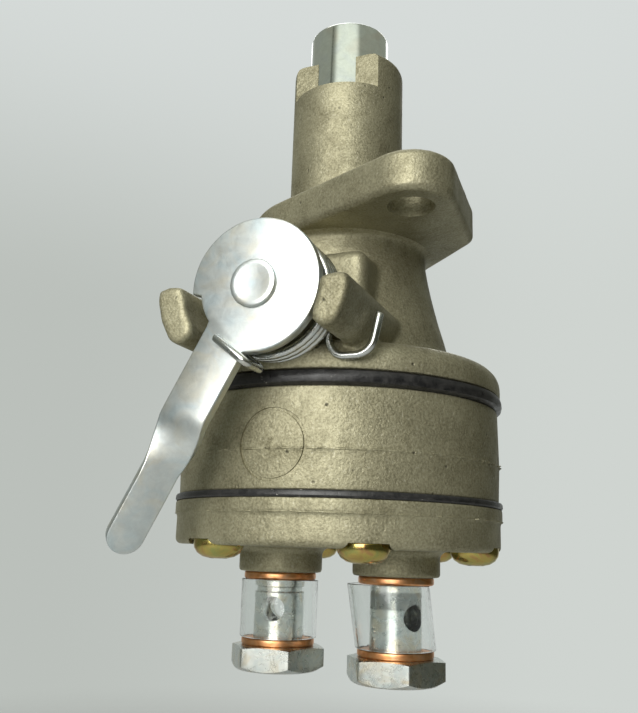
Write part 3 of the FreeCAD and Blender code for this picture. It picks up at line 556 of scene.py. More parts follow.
def ground_steel():
    """Bright plating that is rougher along the lines of a grinding wheel."""
    material, tree, shader = start_material("ground steel", Metallic=1.0)
    lines = add(tree, "ShaderNodeGroup", {"node_tree": TURNED_LINES}, Spacing=0.2).outputs["Lines"]
    coat = add(
        tree, "ShaderNodeGroup", {"node_tree": PLATING},
        Tone=(0.82, 0.86, 0.79, 1), Tint=(0.72, 0.76, 0.76, 1), Warm=(0.8, 0.76, 0.66, 1),
        Gloss=0.07, Smear=0.04, Tint_size=9.0,
    )
    rough = maths(tree, "ADD", coat.outputs["Roughness"], remap(tree, lines, 0.3, 0.7, -0.03, 0.06))
    feed(tree, shader, Base_Color=coat.outputs["Color"], Roughness=rough)
    bump(tree, shader, lines, 0.003)
    return material


# Bright is the colour of the painted glints in the grain.
CAST = coated(
    "cast aluminium", CAST_GRAIN, 0.62, 0.2,
    Tone=(0.42, 0.395, 0.265, 1), Shade=(0.17, 0.155, 0.09, 1), Bright=(0.72, 0.7, 0.6, 1),
)
ZINC = plated("bright zinc", (0.72, 0.76, 0.75, 1), (0.6, 0.7, 0.74, 1), (0.78, 0.76, 0.66, 1))
YELLOW = plated(
    "yellow zinc", (0.58, 0.46, 0.14, 1), (0.34, 0.4, 0.14, 1), (0.56, 0.3, 0.14, 1),
    0.14, 0.12, 2.2, 1.0, 0.02,
)
STEEL = ground_steel()
WIRE = plated(
    "spring wire", (0.7, 0.72, 0.7, 1), (0.62, 0.66, 0.68, 1), (0.7, 0.66, 0.56, 1),
    0.2, 0.12, 3.0, 1.0, 0.01,
)
COPPER = plated(
    "soft copper", (0.9, 0.44, 0.2, 1), (0.92, 0.56, 0.34, 1), (0.76, 0.3, 0.1, 1),
    0.26, 0.2, 2.5, 1.0, 0.03,
)
BRASS = plated(
    "machined brass", (0.72, 0.56, 0.26, 1), (0.76, 0.62, 0.32, 1), (0.6, 0.42, 0.16, 1),
    0.3, 0.1, 3.0,
)
BOLT = plated(
    "bolt zinc", (0.66, 0.68, 0.64, 1), (0.5, 0.56, 0.56, 1), (0.62, 0.56, 0.42, 1),
    0.2, 0.16, 4.0, 1.0, 0.02,
)
print("metal finishes:", ", ".join(m.name for m in (CAST, ZINC, YELLOW, STEEL, WIRE, COPPER, BRASS, BOLT)))

# %% [markdown]
# ### Rubber and clear sleeve
# The rings between the castings are black rubber. Their cut edge is satin with scuffs, and pale specks
# are mixed into the colour in patches. The sleeves are clear soft plastic: a glass shader with a low
# roughness, a faint haze and a plain transmission.

# %% Rubber and plastic finishes
def black_rubber():
    material, tree, shader = start_material("black rubber", Metallic=0.0)
    coords = tree.nodes.new("ShaderNodeTexCoord").outputs["Object"]
    scuff = noise(tree, coords, 1.6, 5.0, 0.7, 0.6)
    # Pale specks, mixed into the colour in patches.
    pale_specks = remap(tree, noise(tree, coords, 0.8, 3.0, 0.6), 0.66, 0.72, 0.0, 0.8)
    patch = remap(tree, noise(tree, coords, 9.0, 2.0), 0.52, 0.66)
    worn = remap(tree, scuff, 0.4, 0.75)
    tone = blend_colours(tree, worn, (0.012, 0.012, 0.013, 1), (0.05, 0.048, 0.046, 1))
    tone = blend_colours(tree, maths(tree, "MULTIPLY", pale_specks, patch), tone, (0.55, 0.53, 0.48, 1))
    feed(tree, shader, Base_Color=tone, Roughness=remap(tree, scuff, 0.3, 0.7, 0.25, 0.5))
    bump(tree, shader, scuff, 0.08)
    return material


def clear_plastic():
    material, tree, shader = start_material(
        "clear sleeve plastic", Metallic=0.0, Transmission_Weight=1.0, IOR=1.42,
    )
    coords = tree.nodes.new("ShaderNodeTexCoord").outputs["Object"]
    haze = noise(tree, coords, 4.0, 3.0, 0.6, 0.5)
    tone = blend_colours(tree, haze, (0.97, 0.98, 0.98, 1), (0.9, 0.92, 0.91, 1))
    feed(tree, shader, Base_Color=tone, Roughness=remap(tree, haze, 0.35, 0.75, 0.02, 0.12))
    bump(tree, shader, haze, 0.05)
    return material


RUBBER = black_rubber()
PLASTIC = clear_plastic()
FINISH = {
    "cast_aluminium": CAST, "ground_steel": STEEL, "spring_steel": WIRE, "zinc_steel": ZINC,
    "yellow_zinc": YELLOW, "copper": COPPER, "brass": BRASS, "black_rubber": RUBBER, "clear_plastic": PLASTIC,
}
print("finishes by their slot in the record:", ", ".join(FINISH))

# %% [markdown]
# ## The upper casting
# The snout that reaches into the engine, its oblique flange, the neck, the cap, the boss for the
# priming shaft and the two stop lugs are one casting. It is built here as overlapping shells in two
# parts, because a finer remesh then fits: the snout with the flange, and the neck with all that it
# carries. The flange's outline is what a belt round six circles makes, which is their convex hull. The
# snout's end is cut away flat in front and behind, so the tappet shows between its two cheeks.

# %% Snout and flange
def flange_shell():
    bm = bmesh.new()
    circles = []
    for half_turn in (0, 180):
        circles.append((heading(HOLE_ANGLE + half_turn, HOLE_OFFSET), 8.2))
        circles.append((heading(84.0 + half_turn, 26.2), 3.0))
        circles.append((Vector((0, 0, 0)), 19.8))
    edge = 0.9
    for centre, radius in circles:
        for level, inset in ((FLANGE_BOTTOM, edge), (FLANGE_BOTTOM + edge, 0), (-edge, 0), (0, edge)):
            at = Matrix.Translation((centre.x, centre.y, level))
            bmesh.ops.create_circle(bm, segments=72, radius=radius - inset, matrix=at)
    made = bmesh.ops.convex_hull(bm, input=bm.verts[:])
    inside = [g for g in made["geom_interior"] if isinstance(g, bmesh.types.BMVert)]
    bmesh.ops.delete(bm, geom=inside, context="VERTS")
    return placed(bm)


snout = spun([
    (0, FLANGE_BOTTOM + 1), (12.5, FLANGE_BOTTOM + 1), (12.5, 1.2), (12.5, SNOUT_TOP, 1.2), (0, SNOUT_TOP),
])
snout_foot = spun([(0, -1), (13.1, -1), (13.1, 0.0), (12.5, 0.9), (0, 0.9)])
snout_casting = cast(as_object("snout_casting", together(snout, snout_foot, flange_shell())), CASTING_VOXEL)
flats = [
    block((-20, 7.8, SNOUT_TOP - 8.5), (20, 20, SNOUT_TOP + 9), place=turned(angle)) for angle in (0, 180)
]
tappet_bore = spun([(0, -20), (11, -20), (11, 0.5), (9.0, 0.5), (9.0, SNOUT_TOP + 5), (0, SNOUT_TOP + 5)])
flange_holes = []
for half_turn in (0, 180):
    place = heading(HOLE_ANGLE + half_turn, HOLE_OFFSET)
    flange_holes.append(rod(HOLE_RADIUS, -12, 3, place.x, place.y))
cut(snout_casting, *flats, tappet_bore, *flange_holes)
piece(snout_casting, "housing", "cast_aluminium", ("upper_housing",))

# %% [markdown]
# The neck flares into the cap like a bell. Its front carries a square boss with rounded upper corners,
# the round spigot that the spring sits on, and two long bars whose ends are the stop lugs. The lugs'
# inner faces follow the lever's round hub, and the left lug is the wider one.

# %% Neck, cap, boss and lugs
def neck_shell():
    return spun([
        (0, CAP_BOTTOM), (33.0, CAP_BOTTOM), (33.0, CAP_TOP, 4.0), (25.6, CAP_TOP), (23.9, CAP_TOP + 0.5),
        (22.6, -30.5), (21.75, -27.3), (20.75, -24.0), (19.85, -20.6), (19.1, -17.5), (18.4, -14.2),
        (17.8, -10.6), (17.7, -9.3), (18.1, -8.4), (19.3, FLANGE_BOTTOM), (19.3, FLANGE_BOTTOM + 3),
        (0, FLANGE_BOTTOM + 3),
    ])


RIGHT_LUG = (
    (12.2, 0.0), (15.1, 0.5), (16.8, 0.1), (17.2, -1.7), (16.6, -4.4), (15.4, -7.4), (14.0, -8.5),
    (12.0, -8.2), (10.9, -7.0), (11.0, -5.6), (11.9, -2.8),
)
LEFT_LUG = (
    (-18.3, 0.1), (-16.3, 0.7), (-13.9, 0.5), (-13.1, -1.4), (-12.6, -3.8), (-11.2, -6.8), (-11.4, -8.4),
    (-13.2, -9.6), (-14.3, -9.7), (-15.7, -8.9), (-17.5, -5.5), (-18.5, -1.5),
)
LUG_FACE = 43.6


def lug_shell(outline):
    """A bar along the shaft's axis with a soft edge round its end."""
    bar = prism(outline, LUG_FACE - 8.0, Matrix.Translation((0, 0, 8.0)))
    rim = [e for e in bar.edges if all(v.co.z > LUG_FACE - 0.1 for v in e.verts)]
    round_edges(bar, rim, 0.7, 4)
    return placed(bar, onto_shaft())


boss = block((-12.6, -22.7, CAP_TOP - 1), (12.6, -4, 12.6 - SHAFT_DROP), bevel=2.2, segments=5)
spigot = spun([
    (0, 20), (10.8, 20), (10.8, 22.7), (9.6, 23.9), (9.6, 38.4, 0.6), (0, 38.4),
], place=onto_shaft())
neck = together(neck_shell(), boss, spigot, lug_shell(RIGHT_LUG), lug_shell(LEFT_LUG))
neck_casting = as_object("neck_casting", neck)
cast(neck_casting, CASTING_VOXEL)
cut(
    neck_casting,
    spun([(0, CAP_BOTTOM - 3), (25, CAP_BOTTOM - 3), (25, -36.2), (13.5, -36.2), (13.5, -2), (0, -2)]),
    rod(5.03, -1, 45, place=onto_shaft()),
)
piece(neck_casting, "housing", "cast_aluminium", ("upper_housing",))

# %% [markdown]
# ## The lower casting
# The round body under the cap has a fine flash line halfway up, where the two halves of its mould met,
# and a plain round witness mark left by a mould insert. Both are raised metal, so they are modelled,
# not painted. The valve bores and the chamber inside are cut as on the real piece.

# %% Lower housing
PARTING = LOWER_BOTTOM + 7.0
WITNESS_LEVEL, WITNESS_ANGLE = -52.75, -0.5


def flash(bm, level, reach, seed):
    """Makes the thin fin at a parting line rough: low and even on the left, crumbly on the right."""
    for vert in bm.verts:
        if abs(vert.co.z - level) > 0.15 or vert.co.xy.length < 32.0:
            continue
        angle = math.atan2(vert.co.y, vert.co.x)
        crumbs = sum(math.sin(angle * k + seed * k * k) for k in (37, 61, 89, 131, 173)) / 3
        patch = 0.5 + 0.5 * math.sin(angle * 3 + seed)
        right_side = 0.5 + 0.5 * math.cos(angle + 0.6)
        push = reach * max(crumbs, -0.4) * (0.25 + patch * right_side)
        vert.co.xy *= 1 + push / vert.co.xy.length
        vert.co.z += 0.12 * reach * math.sin(angle * 43 + seed)
    return bm


def witness_groove(radius, middle, angle, mark_radius):
    """A cutter for a thin round groove on a round wall: a flat ring wrapped onto the cylinder."""
    width, depth = 0.45, 0.3
    ring = spun([
        (mark_radius - width / 2, -depth), (mark_radius + width / 2, -depth), (mark_radius + width, 0.5),
        (mark_radius - width, 0.5),
    ], segments=144, closed=True)
    for vert in ring.verts:
        around = vert.co.x / radius
        vert.co = heading(angle + math.degrees(around), radius + vert.co.z, middle + vert.co.y)
    return placed(ring)


def wall_rows(start, end, count):
    """Points along a straight wall, so that a cut in it changes only small faces."""
    across, up = end[0] - start[0], end[1] - start[1]
    return [(start[0] + across * i / count, start[1] + up * i / count) for i in range(1, count)]


below, above = (32.58, PARTING - 0.22), (32.58, PARTING + 0.22)
lower = spun([
    (0, LOWER_BOTTOM), (32.35, LOWER_BOTTOM, 0.35), *wall_rows((32.36, LOWER_BOTTOM + 0.5), below, 9), below,
    (32.7, PARTING - 0.07), (32.7, PARTING + 0.07), above, *wall_rows(above, (32.36, LOWER_TOP - 0.5), 13),
    (32.35, LOWER_TOP, 0.35), (25, LOWER_TOP), (25, -50), (7.95, -50), (7.95, -53), (0, -53),
], segments=420)
lower_casting = as_object("lower_casting", flash(lower, PARTING, 0.34, 1.3))
cut(lower_casting, witness_groove(32.5, WITNESS_LEVEL, WITNESS_ANGLE, 6.15))
cut(lower_casting, *[rod(6.5, LOWER_BOTTOM - 1, -49, x) for x in (-15.0, 15.0)])
cut(lower_casting, *at_screws(SCREW_HOLE, LOWER_BOTTOM - 1, LOWER_TOP + 1))
piece(lower_casting, "housing", "cast_aluminium", ("lower_housing",))

# %% [markdown]
# ## Cover, gasket and diaphragm
# The bottom cover carries both port bosses. Its screws sit in shallow spot faces that break through the
# rim, which gives the scalloped lower edge. The gasket above it and the diaphragm's rim show
# as black lines whose edge is never quite even, so a little noise moves their outer edge.

# %% Bottom cover
def port_boss(side):
    return spun([
        (0, BOSS_BOTTOM), (8.6, BOSS_BOTTOM, 0.5), (8.6, COVER_BOTTOM - 0.9), (9.5, COVER_BOTTOM),
        (9.5, COVER_BOTTOM + 2), (0, COVER_BOTTOM + 2),
    ], place=at_port(side))


COVER_STEP = COVER_TOP - 2.4
cover_plate = spun([
    (0, COVER_BOTTOM), (32.6, COVER_BOTTOM, 1.1), (32.6, COVER_STEP - 0.25), (33.0, COVER_STEP),
    (33.0, COVER_TOP, 0.3), (0, COVER_TOP),
], segments=192)
cover_casting = as_object("cover_casting", together(cover_plate, port_boss(-1), port_boss(1)))
cast(cover_casting, 0.36, relax=3)
pockets = at_screws(5.6, COVER_BOTTOM - 4, COVER_BOTTOM + 1.0, 64)
screw_holes = at_screws(SCREW_HOLE, COVER_BOTTOM - 1, COVER_TOP + 1)
threads = [rod(5.02, BOSS_BOTTOM - 1, COVER_TOP + 1, x, 0) for x in (-PORT_OFFSET, PORT_OFFSET)]
cut(cover_casting, *pockets, *screw_holes, *threads)
fin = flash(spun([
    (32.2, COVER_STEP - 0.3), (32.6, COVER_STEP - 0.25), (32.95, COVER_STEP - 0.08),
    (32.95, COVER_STEP + 0.05), (32.6, COVER_STEP + 0.1), (32.2, COVER_STEP + 0.15),
], segments=420, closed=True), COVER_STEP, 0.3, 2.1)
cover_casting = with_shell(cover_casting, fin)
piece(cover_casting, "housing", "cast_aluminium", ("bottom_cover",))


# %% Black rings with an uneven edge
def ragged(bm, inner_radius, amount, seed, bulge=None):
    """Moves the outer wall of a ring in and out. bulge is (direction in degrees, width, height)."""
    for vert in bm.verts:
        radius = vert.co.xy.length
        if radius < inner_radius:
            continue
        angle = math.atan2(vert.co.y, vert.co.x)
        wave = sum(math.sin(angle * k + seed * k * k) / k ** 0.5 for k in (5, 9, 14, 23, 31)) / 2
        push = amount * wave
        if bulge:
            off = (math.degrees(angle) - bulge[0] + 180) % 360 - 180
            push += bulge[2] * math.exp(-((off / bulge[1]) ** 2))
        vert.co.xy *= (radius + push) / radius
    return bm


rim = spun([
    (24.0, LOWER_TOP), (32.3, LOWER_TOP), (33.1, LOWER_TOP + 0.5), (33.3, LOWER_TOP + 1.2),
    (33.25, LOWER_TOP + 1.8), (33.0, CAP_BOTTOM - 0.3), (32.4, CAP_BOTTOM), (24.0, CAP_BOTTOM),
], segments=256, closed=True)
rim = ragged(rim, 32.9, 0.1, 1.7, bulge=(-12, 12, 0.3))
diaphragm_rim = as_object("diaphragm_rim", rim)
cut(diaphragm_rim, *at_screws(SCREW_HOLE, LOWER_TOP - 1, CAP_BOTTOM + 1))
piece(diaphragm_rim, "housing", "black_rubber", ("diaphragm",))

sheet = spun([
    (22.5, COVER_TOP), (32.9, COVER_TOP), (33.1, COVER_TOP + 0.3), (33.05, LOWER_BOTTOM - 0.25),
    (32.85, LOWER_BOTTOM), (22.5, LOWER_BOTTOM),
], segments=256, closed=True)
gasket = as_object("cover_gasket_sheet", ragged(sheet, 32.8, 0.09, 2.3))
cut(gasket, *at_screws(SCREW_HOLE, COVER_TOP - 1, LOWER_BOTTOM + 1))
piece(gasket, "housing", "black_rubber", ("cover_gasket",))

# %% [markdown]
# ## Cover screws
# Pan-head screws with a cross recess and yellow plating. One is made by spinning a head
# outline and cutting two tapered slots. Six turned copies are put in place.

# %% Six pan-head screws
def recess_arm(turn):
    """A tapered slot across the head, narrower at its floor."""
    bm = bmesh.new()
    bmesh.ops.create_cube(bm, size=1.0, matrix=Matrix.Diagonal((5.4, 1.25, 4.0, 1)))
    for vert in bm.verts:
        if vert.co.z > 0:
            vert.co.x *= 0.45
            vert.co.y *= 0.6
    bmesh.ops.translate(bm, verts=bm.verts[:], vec=(0, 0, -3.3))
    return placed(bm, turned(turn))


one_screw = as_object("one_screw", spun([
    (0, -3.45), (1.6, -3.4), (2.9, -3.1), (3.9, -2.45), (4.45, -1.6), (4.6, -0.9), (4.6, 0, 0.2), (2.5, 0),
    (2.5, 30), (0, 30),
], segments=64))
cut(one_screw, recess_arm(0), recess_arm(90))
screws = bmesh.new()
for i, place in enumerate(screw_places):
    copy = one_screw.data.copy()
    copy.transform(
        Matrix.Scale(MM, 4) @ Matrix.Translation((place.x, place.y, COVER_BOTTOM + 1.0))
        @ turned(25 + 47 * i) @ Matrix.Scale(1 / MM, 4)
    )
    screws.from_mesh(copy)
    bpy.data.meshes.remove(copy)
bpy.data.objects.remove(one_screw)
bmesh.ops.transform(screws, matrix=Matrix.Scale(1 / MM, 4), verts=screws.verts[:])
piece(as_object("pan_head_screws", screws), "housing", "yellow_zinc", ("cover_screws",))

# %% [markdown]
# ## The ports
# Each port is a hollow banjo bolt, two soft copper washers and a clear sleeve that holds the washers
# apart until a fuel line takes its place. The right sleeve is a little longer, flared, and leans.

# %% Washers, sleeves and bolts
def washer(name, side, top, stands_for):
    ring = spun([
        (5.1, top - WASHER, 0.3), (7.4, top - WASHER, 0.45), (7.4, top, 0.45), (5.1, top, 0.3),
    ], closed=True, place=at_port(side))
    return piece(as_object(name, ring), "housing", "copper", (stands_for,))


def sleeve(name, side, length, flare, lean, stands_for):
    top = BOSS_BOTTOM - WASHER
    wall = spun([
        (7.0, top - length), (7.8, top - length, 0.2), (7.8 + flare, top, 0.2), (7.0 + flare, top),
    ], closed=True, segments=96)
    for vert in wall.verts:
        share = (vert.co.z - (top - length)) / length
        vert.co.x += (0.12 * math.sin(3 * math.atan2(vert.co.y, vert.co.x)) - 0.92 * lean) * share
        vert.co.y -= 0.38 * lean * share
    placed(wall, at_port(side))
    return piece(as_object(name, wall), "housing", "clear_plastic", (stands_for,))


def banjo_bolt(name, side, length, cross_angle, grooves, stands_for):
    """A hollow bolt: a cone crossed with a hexagon, joined to a grooved shank, then drilled both ways."""
    under_head = BOSS_BOTTOM - 2 * WASHER - length
    head_bottom = under_head - 4.7
    middle = (under_head + BOSS_BOTTOM) / 2
    corner = ACROSS_FLATS / math.sqrt(3)
    outline = [(0, under_head - 1), (5.0, under_head - 1)]
    for drop in grooves:
        level = BOSS_BOTTOM - WASHER - drop
        outline += [(5.0, level - 1.2), (4.55, level - 1.0), (4.55, level - 0.2), (5.0, level)]
    outline += [(5.0, BOSS_BOTTOM + 6.4), (4.2, BOSS_BOTTOM + 7.2), (0, BOSS_BOTTOM + 7.2)]
    bolt = as_object(name, spun([
        (0, head_bottom), (8.1, head_bottom, 0.4), (9.9, head_bottom + 1.1), (9.9, under_head - 0.45),
        (8.3, under_head), (0, under_head),
    ]))
    hexagon = bmesh.new()
    at = Matrix.Translation((0, 0, (head_bottom + under_head) / 2)) @ turned(cross_angle) @ turned(30)
    bmesh.ops.create_cone(
        hexagon, cap_ends=True, segments=6, radius1=corner, radius2=corner, depth=4.9, matrix=at,
    )
    upright = [e for e in hexagon.edges if abs(e.verts[0].co.z - e.verts[1].co.z) > 1]
    round_edges(hexagon, upright, 0.25, 3)
    combine(bolt, "INTERSECT", placed(hexagon))
    combine(bolt, "UNION", spun(outline))
    across = Matrix.Translation((0, 0, middle)) @ turned(cross_angle) @ turned(90, "X")
    cut(bolt, rod(3.0, middle - 3.4, BOSS_BOTTOM + 9), rod(2.4, -12, 12, place=across))
    bolt.data.transform(Matrix.Translation((side * PORT_OFFSET * MM, 0, 0)))
    return piece(bolt, "housing", "zinc_steel", (stands_for,), smooth_below=28, material=BOLT)


for label, side, length, flare, lean, angle, grooves in (
    ("inlet", -1, 11.3, 0.0, 0.0, 8.0, (1.4,)),
    ("outlet", 1, 11.9, 0.15, 1.55, 62.0, (1.4, 3.4)),
):
    washer(label + "_washer_above", side, BOSS_BOTTOM, label + "_upper_washer")
    washer(label + "_washer_below", side, BOSS_BOTTOM - WASHER - length, label + "_lower_washer")
    sleeve(label + "_clear_sleeve", side, length, flare, lean, label + "_sleeve")
    banjo_bolt(label + "_hollow_bolt", side, length, angle, grooves, label + "_banjo_bolt")

# %% [markdown]
# ## The tappet
# A ground steel plunger that the engine's cam pushes. Its end has a small rounded edge.

# %% Tappet
tappet_piece = as_object("tappet_ground", spun([
    (6.5, -2.5), (8.97, -2.5, 0.3), (8.97, -0.8), (8.1, -0.75), (8.1, 0.45), (8.97, 0.5), (8.97, 45.5),
    (8.87, 45.85), (8.6, 46.1), (8.2, TIP), (0, TIP), (0, 40.2), (6.5, 40.2),
], closed=True, segments=160))
piece(tappet_piece, "tappet", "ground_steel", ("tappet",), smooth_below=50)

# %% [markdown]
# ## The priming lever
# A lever pressed from 2 mm sheet: a round hub with a step, and an arm with a wave that stiffens it. Its
# outline is one flat face. Cuts across the arm give it enough edges to bend, and a bevel rounds the
# punched edges. The hub's step is where its radius drops before the arm's left edge. Past the wave
# the arm is turned about its length, so that its lower half shows its left edge.

# %% Lever plate
HUB, HUB_STEP, ARM_LEAN = 11.9, 10.3, 29.0
ARM, WAVE_START, WAVE_RADIUS, WAVE_TURN, WAVE_SHARE = 51.0, 24.0, 5.8, math.radians(34), 0.3
TWIST, TWIST_START, TWIST_LENGTH, SETBACK = math.radians(48), 24.0, 14.0, 1.2


def arm_frame(x, along):
    """A point of the arm given across it and along it from the hub's centre."""
    lean = math.radians(ARM_LEAN)
    return (x * math.cos(lean) - along * math.sin(lean), -x * math.sin(lean) - along * math.cos(lean))


def on_circle(radius, angle):
    return (radius * math.cos(math.radians(angle)), radius * math.sin(math.radians(angle)))


def arc(radius, angle, last):
    """Points of an arc, 4 degrees apart."""
    points = []
    while angle < last:
        points.append(on_circle(radius, angle))
        angle += 4.0
    return points


def lever_outline():
    """The hub from the arm's right edge round to its step, the smaller radius, and the arm."""
    half, end = 4.35, 3.2
    down = 270.0 - ARM_LEAN
    right_exit, left_exit = (math.degrees(math.asin(half / radius)) for radius in (HUB, HUB_STEP))
    points = arc(HUB, down + right_exit, 184.0 + 360.0) + [on_circle(HUB, 184)]
    points += arc(HUB_STEP, 187.0, down - left_exit)
    left_side = (10.2, half), (27.0, half), (35.0, end), (ARM - end, end)
    right_side = (ARM - end, end), (35.0, end), (27.0, half), (12.5, half)
    points += [arm_frame(-x, along) for along, x in left_side]
    for step in range(1, 16):
        turn = math.pi * step / 16
        points.append(arm_frame(-end * math.cos(turn), ARM - end + end * math.sin(turn)))
    return points + [arm_frame(x, along) for along, x in right_side]


def wave_at(along):
    """Depth of the wave behind the flat arm, at a distance along the arm."""
    reach = WAVE_RADIUS * math.sin(WAVE_TURN)
    s = along - WAVE_START
    if s <= 0 or s >= 4 * reach:
        return 0.0
    if s > 2 * reach:
        s = 4 * reach - s
    if s <= reach:
        return WAVE_RADIUS - math.sqrt(WAVE_RADIUS ** 2 - s ** 2)
    fall = 2 * WAVE_RADIUS * (1 - math.cos(WAVE_TURN))
    return fall - WAVE_RADIUS + math.sqrt(WAVE_RADIUS ** 2 - (2 * reach - s) ** 2)


plate = prism(lever_outline(), 2.0)
lean = math.radians(ARM_LEAN)
arm_direction = Vector((-math.sin(lean), -math.cos(lean), 0))
for i in range(56):
    along = 22.0 + i * 0.3
    bmesh.ops.bisect_plane(
        plate, geom=plate.verts[:] + plate.edges[:] + plate.faces[:], dist=1e-5,
        plane_co=arm_direction * along, plane_no=arm_direction,
    )
edges = [e for e in plate.edges if len(e.link_faces) == 2 and e.calc_face_angle(0) > math.radians(50)]
flat = [e for e in edges if abs(e.verts[0].co.z - e.verts[1].co.z) < 0.01]
round_edges(plate, flat, 0.28, 3)
arm_across = Vector((math.cos(lean), -math.sin(lean), 0))
for vert in plate.verts:
    along, across, depth = vert.co.dot(arm_direction), vert.co.dot(arm_across), vert.co.z - 1.0
    share = min(max((along - TWIST_START) / TWIST_LENGTH, 0.0), 1.0)
    share = share * share * (3 - 2 * share)
    twist = TWIST * share
    vert.co += arm_across * (across * math.cos(twist) + depth * math.sin(twist) - across)
    wave = WAVE_SHARE * wave_at(along)
    vert.co.z = 1.0 + depth * math.cos(twist) - across * math.sin(twist) - SETBACK * share - wave
placed(plate, onto_shaft() @ Matrix.Translation((0, 0, LEVER_FACE - 2.0)))
piece(as_object("priming_lever_plate", plate), "lever", "zinc_steel", ("priming_lever",), smooth_below=40)

# %% Shaft with its riveted head
shaft_piece = as_object("priming_shaft_ground", spun([
    (0, 9.0), (5.0, 9.0), (5.0, 12.8), (4.2, 12.9), (4.2, 13.8), (5.0, 13.9), (5.0, 33.8), (3.15, 33.9),
    (3.15, 36.1), (5.0, 36.2), (5.0, 40.6), (3.2, 40.6), (3.2, 42.6), (3.85, 42.62), (4.22, 42.8),
    (4.24, 43.1), (4.1, 43.4), (3.8, 43.52), (3.2, 43.5), (2.2, 43.4), (1.1, 43.34), (0, 43.32),
], place=onto_shaft()))
turn = math.radians(33.0)
combine(shaft_piece, "UNION", rod(1.9, 3.6, 9.5, -3 * math.cos(turn), 3 * math.sin(turn), place=onto_shaft()))
piece(shaft_piece, "lever", "zinc_steel", ("priming_shaft",))

# %% [markdown]
# ## Springs
# A spring is a round wire swept along a path. The torsion spring hooks round the right lug, coils
# round the spigot and lays its front leg over the lever's arm. The springs inside are drawn at rest.

# %% Wires and coils
def rounded_path(points, radius, steps=6):
    """A line through points in space whose inner corners are rounded."""
    path = [points[0]]
    for before, here, after in zip(points, points[1:], points[2:]):
        back, ahead = (before - here).normalized(), (after - here).normalized()
        half = back.angle(ahead) / 2
        reach = min(radius / math.tan(half), (before - here).length * 0.45, (after - here).length * 0.45)
        size = reach * math.tan(half)
        centre = here + (back + ahead).normalized() * size / math.sin(half)
        start, end = here + back * reach - centre, here + ahead * reach - centre
        for step in range(steps + 1):
            mixed = start.lerp(end, step / steps)
            path.append(centre + mixed.normalized() * size)
    path.append(points[-1])
    return path


END_LENGTH, END_WIDTH = 0.2, 0.72


def wire(path, diameter, around=14, place=None):
    """A tube along a path, with a flat cap with a soft edge at each end."""
    bm = bmesh.new()
    last = len(path) - 1
    tangents = [(path[min(i + 1, last)] - path[max(i - 1, 0)]).normalized() for i in range(last + 1)]
    across = tangents[0].orthogonal().normalized()
    rings = []
    stations = [(p, t, 1.0) for p, t in zip(path, tangents)]
    stations[0] = (path[0] + tangents[0] * END_LENGTH * diameter, tangents[0], 1.0)
    stations[-1] = (path[-1] - tangents[-1] * END_LENGTH * diameter, tangents[-1], 1.0)
    stations = [(path[0], tangents[0], END_WIDTH)] + stations + [(path[-1], tangents[-1], END_WIDTH)]
    for centre, tangent, share in stations:
        across = (across - tangent * across.dot(tangent)).normalized()
        other = tangent.cross(across)
        radius = diameter / 2 * share
        rings.append([
            bm.verts.new(centre + (across * math.cos(a) + other * math.sin(a)) * radius)
            for a in [math.tau * k / around for k in range(around)]
        ])
    for low, high in zip(rings, rings[1:]):
        for k in range(around):
            n = (k + 1) % around
            bm.faces.new((low[k], low[n], high[n], high[k]))
    bm.faces.new(reversed(rings[0]))
    bm.faces.new(rings[-1])
    return placed(bm, place)


def helix(radius, turns, bottom, top, first_angle=0.0, dead=0.0, steps=40):
    """Points of a coil. dead is how much of a turn at each end lies nearly flat."""
    points = []
    count = int(turns * steps)
    for i in range(count + 1):
        share = i / count
        rise = share
        if dead:
            rise = min(max((share * turns - dead) / (turns - 2 * dead), 0.0), 1.0)
        angle = math.radians(first_angle) + math.tau * turns * share
        level = bottom + (top - bottom) * rise
        points.append(Vector((radius * math.cos(angle), radius * math.sin(angle), level)))
    return points


# %% The torsion spring
LEVER_WIRE, COIL_BACK, COIL_FRONT = 1.5, 31.2, 37.3
coil_turns = (360 * 4 - 125 + 24) / 360
coil = helix(10.95, coil_turns, COIL_BACK, COIL_FRONT, first_angle=-24.0)
start_way = (coil[0] - coil[1]).normalized()
start_way.z = 0
end_way = (coil[-1] - coil[-2]).normalized()
end_way.z = 0
hook = rounded_path([
    Vector((18.6, -3.4, COIL_BACK)), Vector((17.0, -10.6, COIL_BACK)), Vector((10.6, -10.6, COIL_BACK)),
    coil[0] + start_way * 3.2, coil[0],
], 3.4)
reached = coil[-1] + end_way * 7.6
front = LEVER_FACE + LEVER_WIRE / 2 + 0.05
leg = rounded_path([
    coil[-1], reached, Vector((reached.x, reached.y, front)), Vector((-6.5, -9.0, front)),
], 1.3)
torsion_spring = as_object("torsion_spring", wire(hook[:-1] + coil + leg[1:], LEVER_WIRE, place=onto_shaft()))
shade(torsion_spring, WIRE, 50)
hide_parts("lever_spring")
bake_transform(torsion_spring)


# %% The springs inside
def inner_spring(name, node, body, diameter, turns):
    """A compression spring in the place of its solid."""
    low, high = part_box(node)
    x, y = (low[0] + high[0]) / 2 / MM, (low[1] + high[1]) / 2 / MM
    radius = (high[0] - low[0]) / 2 / MM - diameter / 2
    bottom, top = low[2] / MM, high[2] / MM
    points = helix(radius, turns, bottom + diameter / 2, top - diameter / 2, dead=0.75, steps=30)
    thing = as_object(name, wire(points, diameter, 10, Matrix.Translation((x, y, 0))))
    piece(thing, body, "spring_steel", (node,), smooth_below=50)
    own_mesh(thing)
    return thing


